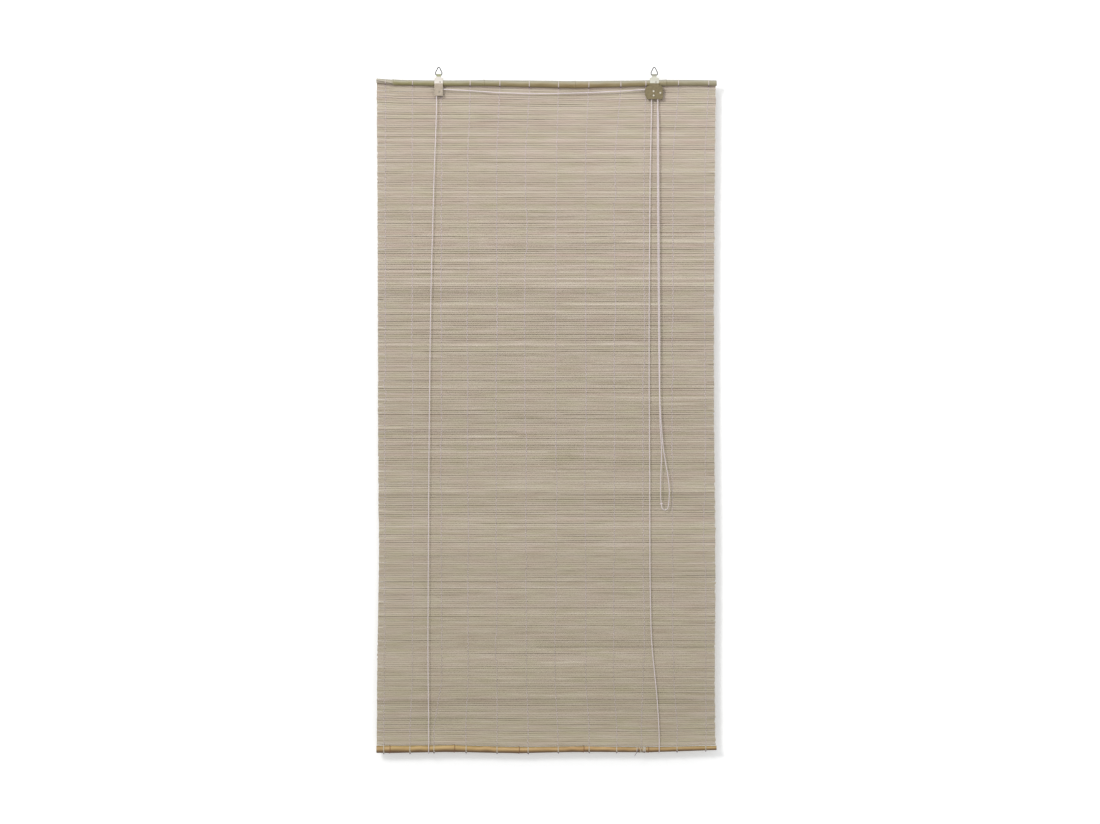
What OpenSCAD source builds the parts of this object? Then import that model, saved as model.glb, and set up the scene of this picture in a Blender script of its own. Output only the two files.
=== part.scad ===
// Bamboo roll up blind, hung from two wire rings and raised by a cord.
// The origin is midway between the two hang points, +X to the right, +Y to the wall, +Z up.
// The mat, the bottom rail and the rings hang in the plane y = 0, and the head rail lies in front.

/* [Blind] */
// Width of the mat
mat_w = 796; // [560:2:990]
// How far both canes reach over the mat at each side
cane_over = 2; // [0:0.5:20]
// Height of the hang points over the bottom rail's axis, at the lift cords
rail_drop = 1604; // [1200:1:2000]
// Height of the hang points over the lowest place of the pull cord's loop
pull_drop = 1040; // [600:10:1500]

/* [Head rail] */
// Thickness of the head rail at its middle
head_d = 14.5; // [12:0.1:18]
// How much thinner the head rail's ends are
head_thin = 1.2; // [0:0.1:3]
// How much thinner the stub before the first node is
stub_thin = 1.8; // [0:0.1:3]
// Height of the hang points over the head rail's axis, at the hangers
head_drop = 37; // [34:0.5:45]
// Rise of the head rail's ends over its middle
head_bow = 6.8; // [0:0.1:12]
// Distance of the head rail's axis before the mat
head_offset = 5; // [4:0.1:6]
// Distance of the first node from the head rail's left end
head_node_first = 39; // [25:1:60]
// Distance between the head rail's nodes
head_internode = 214; // [160:1:260]

/* [Bottom rail] */
// Thickness of the bottom rail's left end
rail_left_d = 17.8; // [12:0.1:20]
// Thickness of the bottom rail's right end
rail_right_d = 10.8; // [9:0.1:16]
// Dip of the bottom rail's middle below its ends
rail_bow = 3.7; // [0:0.1:8]
// Distance of the first node from the bottom rail's left end
rail_node_first = 31; // [20:1:50]
// Distance between the bottom rail's nodes
rail_internode = 152; // [120:1:200]

/* [Cane shapes] */
// How far the most crooked place of a cane stands off its even bow
cane_sway = 4.5; // [0:0.1:6]
// How far a node's ring stands over the cane
bead_h = 0.8; // [0.3:0.1:1.5]
// Width of a node's ring
bead_w = 5; // [4:0.1:8]
// Width of the hollow in a cane's ends
hollow_d = 5; // [3:0.1:7]
// Depth of the hollow in a cane's ends
hollow_depth = 22; // [10:1:24]

/* [Reed mat] */
// Distance from reed to reed
reed_pitch = 5.1; // [4.5:0.1:7]
// Thickness of a reed
reed_t = 1.5; // [1:0.1:2]
// Width of the groove between two reeds
groove_w = 0.9; // [0.6:0.1:1.5]
// Thickness of the mat at the bottom of a groove
web_t = 0.5; // [0.3:0.1:0.8]
// Every how many grooves there is an open slit
slit_every = 3; // [3:1:8]
// Height of an open slit
slit_h = 0.5; // [0.3:0.1:0.7]
// Closed border at each end of a slit
slit_border = 14; // [8:1:40]

/* [Warp threads] */
// Distance of the left edge thread from the mat's edge
warp_left = 23; // [15:0.5:40]
// Distance of the right edge thread from the mat's edge
warp_right = 27.5; // [15:0.5:40]
// Distance between the other threads
warp_pitch = 68.7; // [50:0.1:90]
// Width of a thread on the mat
warp_w = 1.6; // [1:0.1:3]
// How far a thread stands over the reeds
warp_t = 0.4; // [0.2:0.1:0.8]
// Thickness of the thread that is wound round the canes
tie_d = 1; // [0.6:0.1:1.4]
// Number of turns in a tie
tie_turns = 2; // [1:1:4]
// Number of turns in the big tie of the bottom rail
knot_turns = 10; // [3:1:12]
// Play between a tie and its cane
tie_play = 0.12; // [0.05:0.01:0.3]

/* [Brackets] */
// Distance between the two hang points
hang_span = 507; // [440:1:560]
// Thickness of the brackets' sheet
sheet_t = 0.8; // [0.6:0.1:1.2]
// Width of the pulley bracket
strap_w = 20; // [18:0.5:26]
// Width of the lock's strap
lock_strap_w = 21; // [18:0.5:26]
// Play between a strap and the head rail
strap_play = 0.4; // [0.3:0.05:0.8]
// Length of the pulley bracket's legs below the head rail's axis
leg_drop = 30; // [29:0.5:36]
// Length of the lock's plates below the head rail's axis
lock_drop = 38; // [38:0.5:44]
// Clear width between the two plates of a bracket
plate_gap = 5.8; // [5.6:0.1:7]
// Thickness of the rolled eye
eye_d = 5.2; // [4.6:0.1:6.4]
// Width of the rolled eye and the neck below it
eye_w = 10.6; // [8:0.1:11]
// Height of the strap's shoulder over the head rail's axis
shoulder_rise = 14; // [11:0.5:16]
// Width of the tab that holds the cord's end
tab_w = 8; // [6:0.5:12]
// Length of the tab that holds the cord's end
tab_h = 15; // [14:0.5:20]

/* [Hanger rings] */
// Thickness of the ring's wire
wire_d = 2; // [1.6:0.1:2.4]
// Width of the ring at its widest, between wire centres
ring_w = 14.6; // [14:0.1:18]
// Length of the ring's bar, between wire centres
bar_w = 13.2; // [12.8:0.1:14]
// Depth of the bar's axis below the hang point
bar_drop = 17.5; // [16:0.5:20]
// Depth of the ring's widest place below the hang point
ring_drop = 11.5; // [9:0.5:13]
// Play of the bar in its eye
bar_play = 0.08; // [0.05:0.01:0.1]

/* [Pulley and lock] */
// Thickness of the rivets
rivet_d = 3; // [2.4:0.1:3.4]
// Width of a rivet's head
rivet_head_d = 4.4; // [4:0.1:5.4]
// Height of a rivet's head
rivet_head_h = 0.9; // [0.5:0.1:1.4]
// Play of a turning piece on its rivet
pin_play = 0.05; // [0.02:0.01:0.09]
// Width of the pulley over its flanges
pulley_d = 16; // [14:0.5:17]
// Length of the pulley along its axle
pulley_w = 4.6; // [4:0.1:4.8]
// Thickness of the pulley's flanges at their rim
flange_t = 0.5; // [0.4:0.1:0.6]
// Radius at which the cord's middle runs on the pulley
pulley_cord_r = 6.2; // [6:0.1:6.6]
// Radius at which the cords' middle runs on the lock's roller
roller_cord_r = 4.6; // [4.5:0.1:5]
// Length of the lock's roller along its axle
roller_w = 5.2; // [4.6:0.1:5.3]
// Thickness of the lock's spacer post
post_d = 6; // [5:0.1:7]
// Reach of the pawl's teeth from its pivot
pawl_reach = 8.2; // [7:0.1:8.4]
// Number of the pawl's teeth
pawl_teeth = 6; // [4:1:9]
// Depth of the pawl's teeth
tooth_h = 0.8; // [0.4:0.1:1.2]
// Thickness of the tack nails
nail_d = 1.5; // [1.2:0.1:2]
// Width of a tack nail's head
nail_head_d = 3.4; // [2.6:0.1:4.4]
// Height of a tack nail's head
nail_head_h = 0.6; // [0.4:0.1:1]
// Depth of a tack nail in the head rail
nail_depth = 5; // [3:0.5:7]

/* [Cord] */
// Thickness of the cord
cord_d = 2.2; // [1.8:0.1:2.4]
// How far outside its hanger the left lift cord crosses the bottom rail
left_lift_out = 23.5; // [5:0.5:40]
// How far outside its hanger the right lift cord crosses the bottom rail
right_lift_out = 11.5; // [5:0.5:40]
// Play between the cord and what it bends round
cord_play = 0.3; // [0.2:0.05:0.5]
// Thickness of the knots at the cord's ends
knot_d = 5.2; // [4.4:0.1:6]

/* [Hidden] */
$fn = 48;

cane_len = mat_w + 2 * cane_over;
half = cane_len / 2;
hang_x = hang_span / 2;
left_lift_x = -hang_x - left_lift_out;
right_lift_x = hang_x + right_lift_out;
cord_r = cord_d / 2;
wire_r = wire_d / 2;
head_y = -head_offset;
fuse = 0.2; // how deep one shape reaches into the next where they are one piece
joint_gap = 0.4; // half the gap between two stretches of a cane, inside a node's ring
clear = 0.3; // air between soft pieces and what is near them
seat = 0.02; // air between flat faces that bear on each other

// Canes: nodes, axis heights and radii along X
head_nodes = [for (x = -half + head_node_first; x < half - 2 * bead_w; x = x + head_internode) x];
rail_nodes = [for (x = -half + rail_node_first; x < half - 2 * bead_w; x = x + rail_internode) x];
head_stations = concat([-half], head_nodes, [half]);
rail_stations = concat([-half], rail_nodes, [half]);
// How far each crooked cane stands off its even bow, at its left end, its nodes and its right end
head_sway = cane_sway * [0.98, 0.07, 0.8, -0.22, 0.04, -1];
rail_sway = cane_sway * [-0.58, -0.67, 0.22, -0.24, 0.31, -0.44, -0.22];
head_arch = arch(head_stations, head_bow, head_sway);
rail_arch = arch(rail_stations, rail_bow, rail_sway);
// The head rail lies level on its two straps, and the bottom rail on the two lift cords
head_line = level(head_arch, -hang_x, hang_x, head_drop);
rail_line = level(rail_arch, left_lift_x, right_lift_x, rail_drop);
function head_z(x) = lookup(x, head_line);
function rail_z(x) = lookup(x, rail_line);
function head_r(x) = head_d / 2 - head_thin / 2 * pow(x / half, 2);
function rail_r(x) = lookup(x, [[-half, rail_left_d / 2], [half, rail_right_d / 2]]);
function bead_at(x, nodes) = max([for (n = nodes) abs(x - n) < bead_w ? bead_h : 0]);

// Warp threads and ties
warp_x = concat([-mat_w / 2 + warp_left],
                [for (x = mat_w / 2 - warp_right; x > -mat_w / 2 + warp_left + warp_pitch / 2;
                      x = x - warp_pitch) x]);
// How far each thread's ends, and the ties there, stand aside of its even place
head_aside = [-3.8, 10.6, 8.7, 0, 9.7, 3.1, 1.2, 1.6, 0, 0, 0, 1.2];
rail_aside = [-7, 4.7, 5.2, -9.6, 1.4, 4.2, 0, -1.9, -6, -10.4, -17, -4.7];
head_end_x = aside(warp_x, head_aside);
rail_tie_x = aside(warp_x, rail_aside);
head_tie_x = [for (x = head_end_x) if (abs(abs(x) - hang_x) > lock_strap_w / 2 + tie_d * tie_turns) x];
knot_x = min([for (x = warp_x) if (x > hang_x - warp_pitch && x < right_lift_x) x]);
function head_tie_r(x) = head_r(x) + bead_at(x, head_nodes) + tie_play + tie_d / 2;
function rail_tie_r(x) = rail_r(x) + bead_at(x, rail_nodes) + tie_play + tie_d / 2;

// Brackets, in a frame whose origin is the head rail's axis at the hanger
pole_z = -head_drop;
strap_ri = head_r(hang_x) + strap_play;
strap_ro = strap_ri + sheet_t;
eye = [head_offset, -pole_z - bar_drop];
eye_r = eye_d / 2;
tangent_turn = acos((strap_ro - eye_r) / norm(eye));
front_turn = atan2(eye[1], eye[0]) + tangent_turn;
back_turn = atan2(eye[1], eye[0]) - tangent_turn;
back_in = -strap_ri + plate_gap; // the back plate's face on the pulley's side
back_out = back_in + sheet_t;
wheel_y = head_y - strap_ri + plate_gap / 2;

// Mat: the reeds' straight stretch, and the bowed edges that follow the canes
mat_gap = sqrt(pow(max(strap_ro, head_d / 2 + tie_play + tie_d), 2)
               - pow(head_offset - reed_t / 2, 2)) + clear;
edge_min = 0.6; // least height of the bowed edges
function top_edge(x) = head_z(x) - mat_gap;
function bottom_edge(x) = rail_z(x) + rail_r(x) + tie_play + tie_d + clear;
top_x = concat([-mat_w / 2], [for (x = head_nodes) if (abs(x) < mat_w / 2) x], [mat_w / 2]);
bottom_x = concat([-mat_w / 2], [for (x = rail_nodes) if (abs(x) < mat_w / 2) x], [mat_w / 2]);
mat_top = min([for (x = top_x) top_edge(x)]) - edge_min;
mat_bottom = max([for (x = bottom_x) bottom_edge(x)]) + edge_min;
reed_count = floor((mat_top - mat_bottom) / reed_pitch);
reed_step = (mat_top - mat_bottom) / reed_count;

// Places of the wheels and rivets: x from the hanger, z from the head rail's axis
pulley_at = [1.2, -21];
roller_at = [-2, -19.5];
post_at = [-1.9, -29.4];
pawl_at = [13.9, -23.3];
nail_at = [3.6, 2.2];
knot_rise = 3.2 - tab_h; // the cord end's hole, from the head rail's axis
lock_outline = [[-11, 0], [-11, -5], [-19, -9], [-22, -15], [-22, -28], [-18, -36],
                [-16, -lock_drop], [18, -lock_drop], [20, 2 - lock_drop], [20, -12], [16, -6],
                [10, -5], [10, 0]];

// Cord routes
left_cradle_r = rail_r(left_lift_x) + bead_at(left_lift_x, rail_nodes) + cord_play + cord_r;
right_cradle_r = rail_r(right_lift_x) + bead_at(right_lift_x, rail_nodes) + cord_play + cord_r;
lane = cord_r + 0.175; // half the distance between the two cords in the lock
lead = 12; // straight length at each end of a lift cord's run
dip = 1; // how far below a wheel's axis the run over the wheel begins
pulley_x = pulley_at[0] - hang_x;
pulley_z = pole_z + pulley_at[1];
roller_x = roller_at[0] + hang_x;
roller_z = pole_z + roller_at[1];
knot_y = head_y + strap_ro + knot_d / 2 + tie_play;
knot_z = pole_z + knot_rise;
// Each bow is a share of the way down, and how far the cord stands off the straight line there
left_front_route = lift_run([pulley_x - pulley_cord_r, wheel_y, pulley_z - dip],
                            [left_lift_x, -left_cradle_r, rail_z(left_lift_x)],
                            [[0.135, -3.5, 0], [0.365, -7.8, 0], [0.826, -4.7, -0.3]]);
right_front_route = lift_run([roller_x - roller_cord_r, wheel_y + lane, roller_z - dip],
                             [right_lift_x, -right_cradle_r, rail_z(right_lift_x)],
                             [[0.135, -5.8, 0], [0.365, -12.3, 0], [0.573, -14.9, 0], [0.826, -15.9, 0],
                              [0.935, -3.3, 0]]);
left_back_route = lift_run([-hang_x, knot_y, knot_z - knot_d / 2 - seat],
                           [left_lift_x, left_cradle_r, rail_z(left_lift_x)],
                           [[0.16, 1.3, 1], [0.62, 2, 0.7]]);
right_back_route = lift_run([hang_x, knot_y, knot_z - knot_d / 2 - seat],
                            [right_lift_x, right_cradle_r, rail_z(right_lift_x)],
                            [[0.16, 0.6, 0.9], [0.62, -0.6, 0.7]]);
// The cross cord sags from the pulley to the lock's roller
cross_sag = [[0.025, -0.2], [0.145, -3.2], [0.28, -7.6], [0.48, -10], [0.69, -7.6], [0.84, -4.1],
             [0.97, -0.4]];
cross_from = [pulley_x, wheel_y, pulley_z + pulley_cord_r];
cross_to = [roller_x, wheel_y - lane, roller_z + roller_cord_r];
lock_exit = [[hang_x + 8, pole_z - 37], [hang_x + 8, pole_z - 39]];
cross_route = concat([[pulley_x - pulley_cord_r, wheel_y, pulley_z - dip]],
                     wheel_arc([pulley_x, pulley_z], wheel_y, pulley_cord_r, 180, 90, 4),
                     [for (s = cross_sag) cross_from + (cross_to - cross_from) * s[0] + [0, 0, s[1]]],
                     wheel_arc([roller_x, roller_z], wheel_y - lane, roller_cord_r, 90, 0, 4),
                     [for (p = lock_exit) [p[0], wheel_y - lane, p[1]]]);
right_top_route = concat([[roller_x - roller_cord_r, wheel_y + lane, roller_z - dip]],
                         wheel_arc([roller_x, roller_z], wheel_y + lane, roller_cord_r, 180, 0, 8),
                         [for (p = lock_exit) [p[0], wheel_y + lane, p[1]]]);
// The pull cord: one strand down from the lock, a loop, and the other strand back up
pull_y = wheel_y - lane - 1.25;
pull_from = lock_exit[1];
loop_z = -pull_drop; // the loop's lowest place
strand_low = loop_z + 200; // where the strands end and the loop begins
function strand_z(share) = pull_from[1] + (strand_low - pull_from[1]) * share;
strand_down = [[-0.5, strand_z(0.246)], [1.8, strand_z(0.708)], [5.3, strand_low]];
strand_up = [[8.1, strand_low], [4.4, strand_z(0.708)], [2.1, strand_z(0.246)]];
loop = [[8.5, 150], [8.7, 125], [7.3, 90], [6.4, 58], [6.4, 38], [7.6, 20], [9.1, 8.5], [10.4, 4], [13, 1],
        [16.8, 0], [20.6, 1], [23.2, 4], [24.5, 8.5], [26, 20], [26.9, 38], [26.2, 58], [22.8, 85],
        [15.8, 125], [11.3, 160]];
lead_down = [[0, wheel_y - lane, 0], [0, wheel_y - lane, -5], [-0.8, pull_y + 0.6, -34], [-1, pull_y, -74]];
lead_up = [[1.6, pull_y, -74], [1.2, wheel_y - 0.1, -34], [0, wheel_y + lane, -5], [0, wheel_y + lane, 0]];
pull_down = [for (p = lead_down) [pull_from[0] + p[0], p[1], pull_from[1] + p[2]]];
pull_loop = [for (p = concat(strand_down, [for (q = loop) [q[0], loop_z + q[1]]], strand_up))
             [pull_from[0] + p[0], pull_y, p[1]]];
pull_up = [for (p = lead_up) [pull_from[0] + p[0], p[1], pull_from[1] + p[2]]];
pull_route = concat(pull_down, pull_loop, pull_up);
pull_knot_at = len(lead_down) + len(strand_down) + 5; // the point of the loop that its knot is on

// General helpers
function unit(v) = v / norm(v);
function arch(stations, bow, sway) =
    [for (i = [0:len(stations) - 1])
     [stations[i], bow * pow(stations[i] / half, 2) + sway[i % len(sway)]]];
function level(line, a, b, drop) =
    let (tilt = (lookup(b, line) - lookup(a, line)) / (b - a))
    [for (p = line) [p[0], p[1] - lookup(a, line) - tilt * (p[0] - a) - drop]];
function aside(places, steps) =
    [for (i = [0:len(places) - 1]) places[i] + steps[i % len(steps)]];
function arc(c, r, from, to, n) =
    [for (i = [0:n]) let (a = from + (to - from) * i / n) c + r * [cos(a), sin(a)]];
function wheel_arc(at, y, r, from, to, n) = [for (p = arc(at, r, from, to, n)) [p[0], y, p[1]]];
function lift_run(a, b, bows) =
    let (c = b + [0, 0, lead])
    concat([a, a - [0, 0, lead]], [for (s = bows) a + (c - a) * s[0] + [s[1], s[2], 0]], [c, b]);
function along(path, i) = unit(path[min(i + 1, len(path) - 1)] - path[max(i - 1, 0)]);

// Turns a profile of [Y, Z] points into a prism along X, centred
module prism_x(w) {
    rotate([90, 0, 90]) linear_extrude(w, center = true) children();
}

// Turns an outline of [X, Z] points into a prism along Y, centred
module prism_y(t) {
    rotate([90, 0, 0]) linear_extrude(t, center = true) children();
}

// A round bar along Y, centred
module rod_y(d, l) {
    rotate([90, 0, 0]) cylinder(d = d, h = l, center = true);
}

// A cord swept along its route as an eight-sided tube
module cord(path) {
    sides = 8;
    rings = len(path);
    points = [for (i = [0:rings - 1])
              let (t = along(path, i), u = unit(cross(t, [0, 1, 0])), v = cross(t, u))
              for (k = [0:sides - 1])
              path[i] + cord_r * (u * cos(360 * k / sides) + v * sin(360 * k / sides))];
    walls = [for (i = [0:rings - 2], k = [0:sides - 1])
             let (a = i * sides + k, b = i * sides + (k + 1) % sides)
             [a, b, b + sides, a + sides]];
    caps = [[for (k = [sides - 1:-1:0]) k], [for (k = [0:sides - 1]) (rings - 1) * sides + k]];
    color("mistyrose") polyhedron(points, concat(walls, caps));
}

// A cane along X: tapering stretches between its nodes, a ring at each node, hollow ends
module cane(line, radii) {
    last = len(line) - 1;
    difference() {
        union() {
            for (i = [0:last - 1]) {
                a = line[i] + (i > 0 ? joint_gap : 0) * unit(line[i + 1] - line[i]);
                b = line[i + 1] - (i < last - 1 ? joint_gap : 0) * unit(line[i + 1] - line[i]);
                turn = atan2(b[1] - a[1], b[0] - a[0]);
                translate([a[0], 0, a[1]]) rotate([0, 90 - turn, 0])
                    cylinder(h = norm(b - a), r1 = radii[i][0], r2 = radii[i][1]);
            }
            for (i = [1:last - 1]) {
                translate([line[i][0], 0, line[i][1]]) rotate([0, 90, 0])
                    bead(max(radii[i][0], radii[i - 1][1]));
            }
        }
        for (i = [0, last]) {
            translate([line[i][0], 0, line[i][1]]) rotate([0, 90, 0])
                cylinder(d = hollow_d, h = 2 * hollow_depth, center = true);
        }
    }
}

// The ring of a cane's node, round the Z axis
module bead(r) {
    rotate_extrude()
        polygon([[0, -bead_w / 2], [r - 2 * bead_h, -bead_w / 2], [r + bead_h, -bead_w / 8],
                 [r + bead_h, bead_w / 8], [r - 2 * bead_h, bead_w / 2], [0, bead_w / 2]]);
}

// A tie round the X axis: a band with a ridge for each turn of the thread
module tie(r, turns) {
    w = tie_d * turns;
    ridges = [for (i = [0:2 * turns - 2])
              [r + (i % 2 == 0 ? tie_d / 2 : tie_d / 5), (i + 1) * tie_d / 2 - w / 2]];
    rotate([0, 90, 0]) rotate_extrude()
        polygon(concat([[r - tie_d / 2, w / 2], [r - tie_d / 2, -w / 2]], ridges));
}

// A rivet along Y with domed heads on the outside of two plates
module rivet() {
    grip = plate_gap + 2 * sheet_t;
    rod_y(rivet_d, grip + 2 * fuse);
    for (side = [-1, 1]) {
        translate([0, side * (grip / 2 + seat), 0]) rotate([-90 * side, 0, 0])
            cylinder(d1 = rivet_head_d, d2 = rivet_head_d * 0.6, h = rivet_head_h);
    }
}

// The bent sheet of a bracket, seen from its end: round the cane and down in two legs
module strap_profile(drop) {
    outer = concat([[-strap_ro, -drop]], arc([0, 0], strap_ro, 180, front_turn, 4),
                   [eye + eye_r * [cos(front_turn), sin(front_turn)],
                    eye + eye_r * [cos(back_turn), sin(back_turn)]],
                   arc([0, 0], strap_ro, back_turn, -acos(back_out / strap_ro), 14),
                   [[back_out, -drop], [back_in, -drop]]);
    eye_ri = eye_r - sheet_t;
    inner = concat(arc([0, 0], strap_ri, -acos(back_in / strap_ri), back_turn, 14),
                   [eye + eye_ri * [cos(back_turn), sin(back_turn)],
                    eye + eye_ri * [cos(front_turn), sin(front_turn)]],
                   arc([0, 0], strap_ri, front_turn, 180, 4), [[-strap_ri, -drop]]);
    polygon(concat(outer, inner));
}

// The front outline of a strap: its neck under the eye, its shoulders and its straight sides
module strap_outline(w, drop) {
    neck = eye_w / 2;
    chamfer = 2;
    top = eye[1] + eye_d;
    polygon([[-w / 2, -drop], [w / 2, -drop], [w / 2, shoulder_rise - chamfer],
             [neck, shoulder_rise], [neck, top], [-neck, top], [-neck, shoulder_rise],
             [-w / 2, shoulder_rise - chamfer]]);
}

// A bracket round the head rail, with its eye, its tab and its rivet holes
module bracket(w, drop, holes) {
    tall = 4 * drop;
    difference() {
        union() {
            intersection() {
                prism_x(tall) strap_profile(drop);
                prism_y(tall) strap_outline(w, drop);
            }
            children();
            translate([0, eye[0], eye[1]]) rotate([0, 90, 0])
                cylinder(d = eye_d, h = eye_w, center = true);
            translate([-tab_w / 2, strap_ri, -tab_h]) cube([tab_w, sheet_t, tab_h]);
        }
        translate([0, eye[0], eye[1]]) rotate([0, 90, 0])
            cylinder(r = wire_r + bar_play, h = 2 * eye_w, center = true);
        for (at = holes) {
            translate([at[0], 0, at[1]]) rotate([90, 0, 0])
                cylinder(d = rivet_d + 2 * pin_play, h = 2 * strap_ro);
        }
        translate([nail_at[0], 0, nail_at[1]]) rotate([90, 0, 0])
            cylinder(d = nail_d + 2 * pin_play, h = 2 * strap_ro);
        translate([0, 0, knot_rise]) rotate([-90, 0, 0])
            cylinder(d = cord_d + 2 * cord_play, h = 2 * strap_ro);
    }
}

// Places a piece in a bracket's frame
module at_hanger(side) {
    translate([side * hang_x, head_y, pole_z]) children();
}

// Places a piece on a rivet's axis, midway between the plates
module on_rivet(side, at) {
    translate([side * hang_x + at[0], wheel_y, pole_z + at[1]]) children();
}

// A wire ring: straight stretches with a round corner at each bend
module hanger_ring(side) {
    corners = [[0, wire_r], [ring_w / 2, -ring_drop], [bar_w / 2, -bar_drop],
               [-bar_w / 2, -bar_drop], [-ring_w / 2, -ring_drop]];
    n = len(corners);
    color("dimgray") translate([side * hang_x, 0, 0]) for (i = [0:n - 1]) {
        a = corners[i];
        b = corners[(i + 1) % n];
        translate([a[0], 0, a[1]]) {
            sphere(r = wire_r * 1.03);
            rotate([0, 90 - atan2(b[1] - a[1], b[0] - a[0]), 0])
                cylinder(r = wire_r, h = norm(b - a));
        }
    }
}

module left_hanger() {
    hanger_ring(-1);
}

module right_hanger() {
    hanger_ring(1);
}

module head_rail() {
    last = len(head_line) - 2;
    radii = [for (i = [0:last])
             [for (x = [head_stations[i], head_stations[i + 1]])
              head_r(x) - (i == 0 ? stub_thin / 2 : 0)]];
    color("darkkhaki") difference() {
        translate([0, head_y, 0]) cane(head_line, radii);
        for (side = [-1, 1]) {
            at_hanger(side) translate([nail_at[0], -strap_ro + sheet_t, nail_at[1]])
                rotate([-90, 0, 0])
                cylinder(d = nail_d + 2 * pin_play, h = strap_play + nail_depth + fuse);
        }
    }
}

module head_ties() {
    color("lavender") for (x = head_tie_x) {
        translate([x, head_y, head_z(x)]) tie(head_tie_r(x), tie_turns);
    }
}

module reed_mat() {
    front = [for (i = [0:reed_count - 1])
             each [[-web_t / 2, i * reed_step], [-reed_t / 2, i * reed_step + groove_w / 2],
                   [-reed_t / 2, (i + 1) * reed_step - groove_w / 2]]];
    back = [for (i = [reed_count - 1:-1:0])
            each [[web_t / 2, (i + 1) * reed_step], [reed_t / 2, (i + 1) * reed_step - groove_w / 2],
                  [reed_t / 2, i * reed_step + groove_w / 2]]];
    top = [[-web_t / 2, reed_count * reed_step]];
    bottom = [[web_t / 2, 0]];
    color("tan") {
        difference() {
            translate([0, 0, mat_bottom]) prism_x(mat_w) polygon(concat(front, top, back, bottom));
            for (i = [slit_every:slit_every:reed_count - 1]) {
                translate([0, 0, mat_bottom + i * reed_step])
                    cube([mat_w - 2 * slit_border, 2 * reed_t, slit_h], center = true);
            }
        }
        bowed_edge([for (x = top_x) [x, top_edge(x)]], mat_top - fuse);
        bowed_edge([for (x = bottom_x) [x, bottom_edge(x)]], mat_bottom + fuse);
    }
}

// A strip of bowed reeds between a cane's line and the straight reeds
module bowed_edge(line, straight_z) {
    prism_y(reed_t - fuse) polygon(concat(line, [[mat_w / 2, straight_z], [-mat_w / 2, straight_z]]));
}

module warp_threads() {
    across = [warp_w / 2, 0];
    color("lavender") for (i = [0:len(warp_x) - 1], side = [-1, 1]) {
        high = [head_end_x[i], top_edge(head_end_x[i]) - clear];
        low = [rail_tie_x[i], bottom_edge(rail_tie_x[i]) + clear];
        translate([0, side * (reed_t + warp_t) / 2, 0])
            prism_y(warp_t) polygon([high - across, high + across, low + across, low - across]);
    }
}

module left_bracket() {
    color("wheat") at_hanger(-1) bracket(strap_w, leg_drop, [pulley_at]);
}

module left_pulley() {
    groove_r = pulley_cord_r - cord_r - cord_play;
    bottom_w = cord_d * 0.85;
    mouth_w = pulley_w - 2 * flange_t;
    color("gainsboro") on_rivet(-1, pulley_at) rotate([90, 0, 0]) rotate_extrude()
        polygon([[rivet_d / 2 + pin_play, -pulley_w / 2], [pulley_d / 2, -pulley_w / 2],
                 [pulley_d / 2, -mouth_w / 2], [groove_r, -bottom_w / 2], [groove_r, bottom_w / 2],
                 [pulley_d / 2, mouth_w / 2], [pulley_d / 2, pulley_w / 2],
                 [rivet_d / 2 + pin_play, pulley_w / 2]]);
}

module pulley_axle() {
    color("wheat") on_rivet(-1, pulley_at) rivet();
}

module lock_housing() {
    below_cane = lock_drop - strap_ro;
    color("darkkhaki") at_hanger(1) bracket(lock_strap_w, lock_drop, [roller_at, post_at, pawl_at]) {
        translate([0, -strap_ri - sheet_t / 2, 0]) prism_y(sheet_t) polygon(lock_outline);
        translate([0, back_in + sheet_t / 2, 0]) prism_y(sheet_t) intersection() {
            polygon(lock_outline);
            translate([-lock_drop, -lock_drop]) square([2 * lock_drop, below_cane]);
        }
    }
}

module lock_roller() {
    rim_r = roller_cord_r - cord_r - cord_play;
    color("gainsboro") on_rivet(1, roller_at) rotate([90, 0, 0]) difference() {
        cylinder(r = rim_r, h = roller_w, center = true);
        cylinder(d = rivet_d + 2 * pin_play, h = 2 * roller_w, center = true);
    }
}

module roller_axle() {
    color("ivory") on_rivet(1, roller_at) rivet();
}

module lock_post() {
    color("ivory") on_rivet(1, post_at) {
        rivet();
        rod_y(post_d, plate_gap - clear);
    }
}

module lock_pawl() {
    from = 150;
    to = 215;
    teeth = [for (i = [0:2 * pawl_teeth])
             let (a = from + (to - from) * i / (2 * pawl_teeth), r = pawl_reach - (i % 2) * tooth_h)
             r * [cos(a), sin(a)]];
    hub_r = rivet_d / 2 + 1.5;
    color("goldenrod") on_rivet(1, pawl_at) difference() {
        union() {
            prism_y(pulley_w) polygon(concat([[0, hub_r * 0.8]], teeth, [[0, -hub_r * 0.8]]));
            rod_y(2 * hub_r, pulley_w);
        }
        rod_y(rivet_d + 2 * pin_play, 2 * pulley_w);
    }
}

module pawl_rivet() {
    color("ivory") on_rivet(1, pawl_at) rivet();
}

module bracket_nails() {
    color("gray") for (side = [-1, 1]) {
        at_hanger(side) translate([nail_at[0], -strap_ro, nail_at[1]]) {
            translate([0, -seat - fuse, 0]) rotate([-90, 0, 0])
                cylinder(d = nail_d, h = seat + fuse + sheet_t + strap_play + nail_depth);
            translate([0, -seat, 0]) rotate([90, 0, 0])
                cylinder(d1 = nail_head_d, d2 = nail_head_d * 0.7, h = nail_head_h);
        }
    }
}

module bottom_rail() {
    last = len(rail_line) - 2;
    radii = [for (i = [0:last]) [rail_r(rail_stations[i]), rail_r(rail_stations[i + 1])]];
    color("peru") cane(rail_line, radii);
}

module bottom_ties() {
    color("lavender") for (i = [0:len(warp_x) - 1]) {
        x = rail_tie_x[i];
        translate([x, 0, rail_z(x)]) tie(rail_tie_r(x), warp_x[i] == knot_x ? knot_turns : tie_turns);
    }
}

module left_cord_front() {
    cord(left_front_route);
}

module right_cord_front() {
    cord(right_front_route);
}

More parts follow.
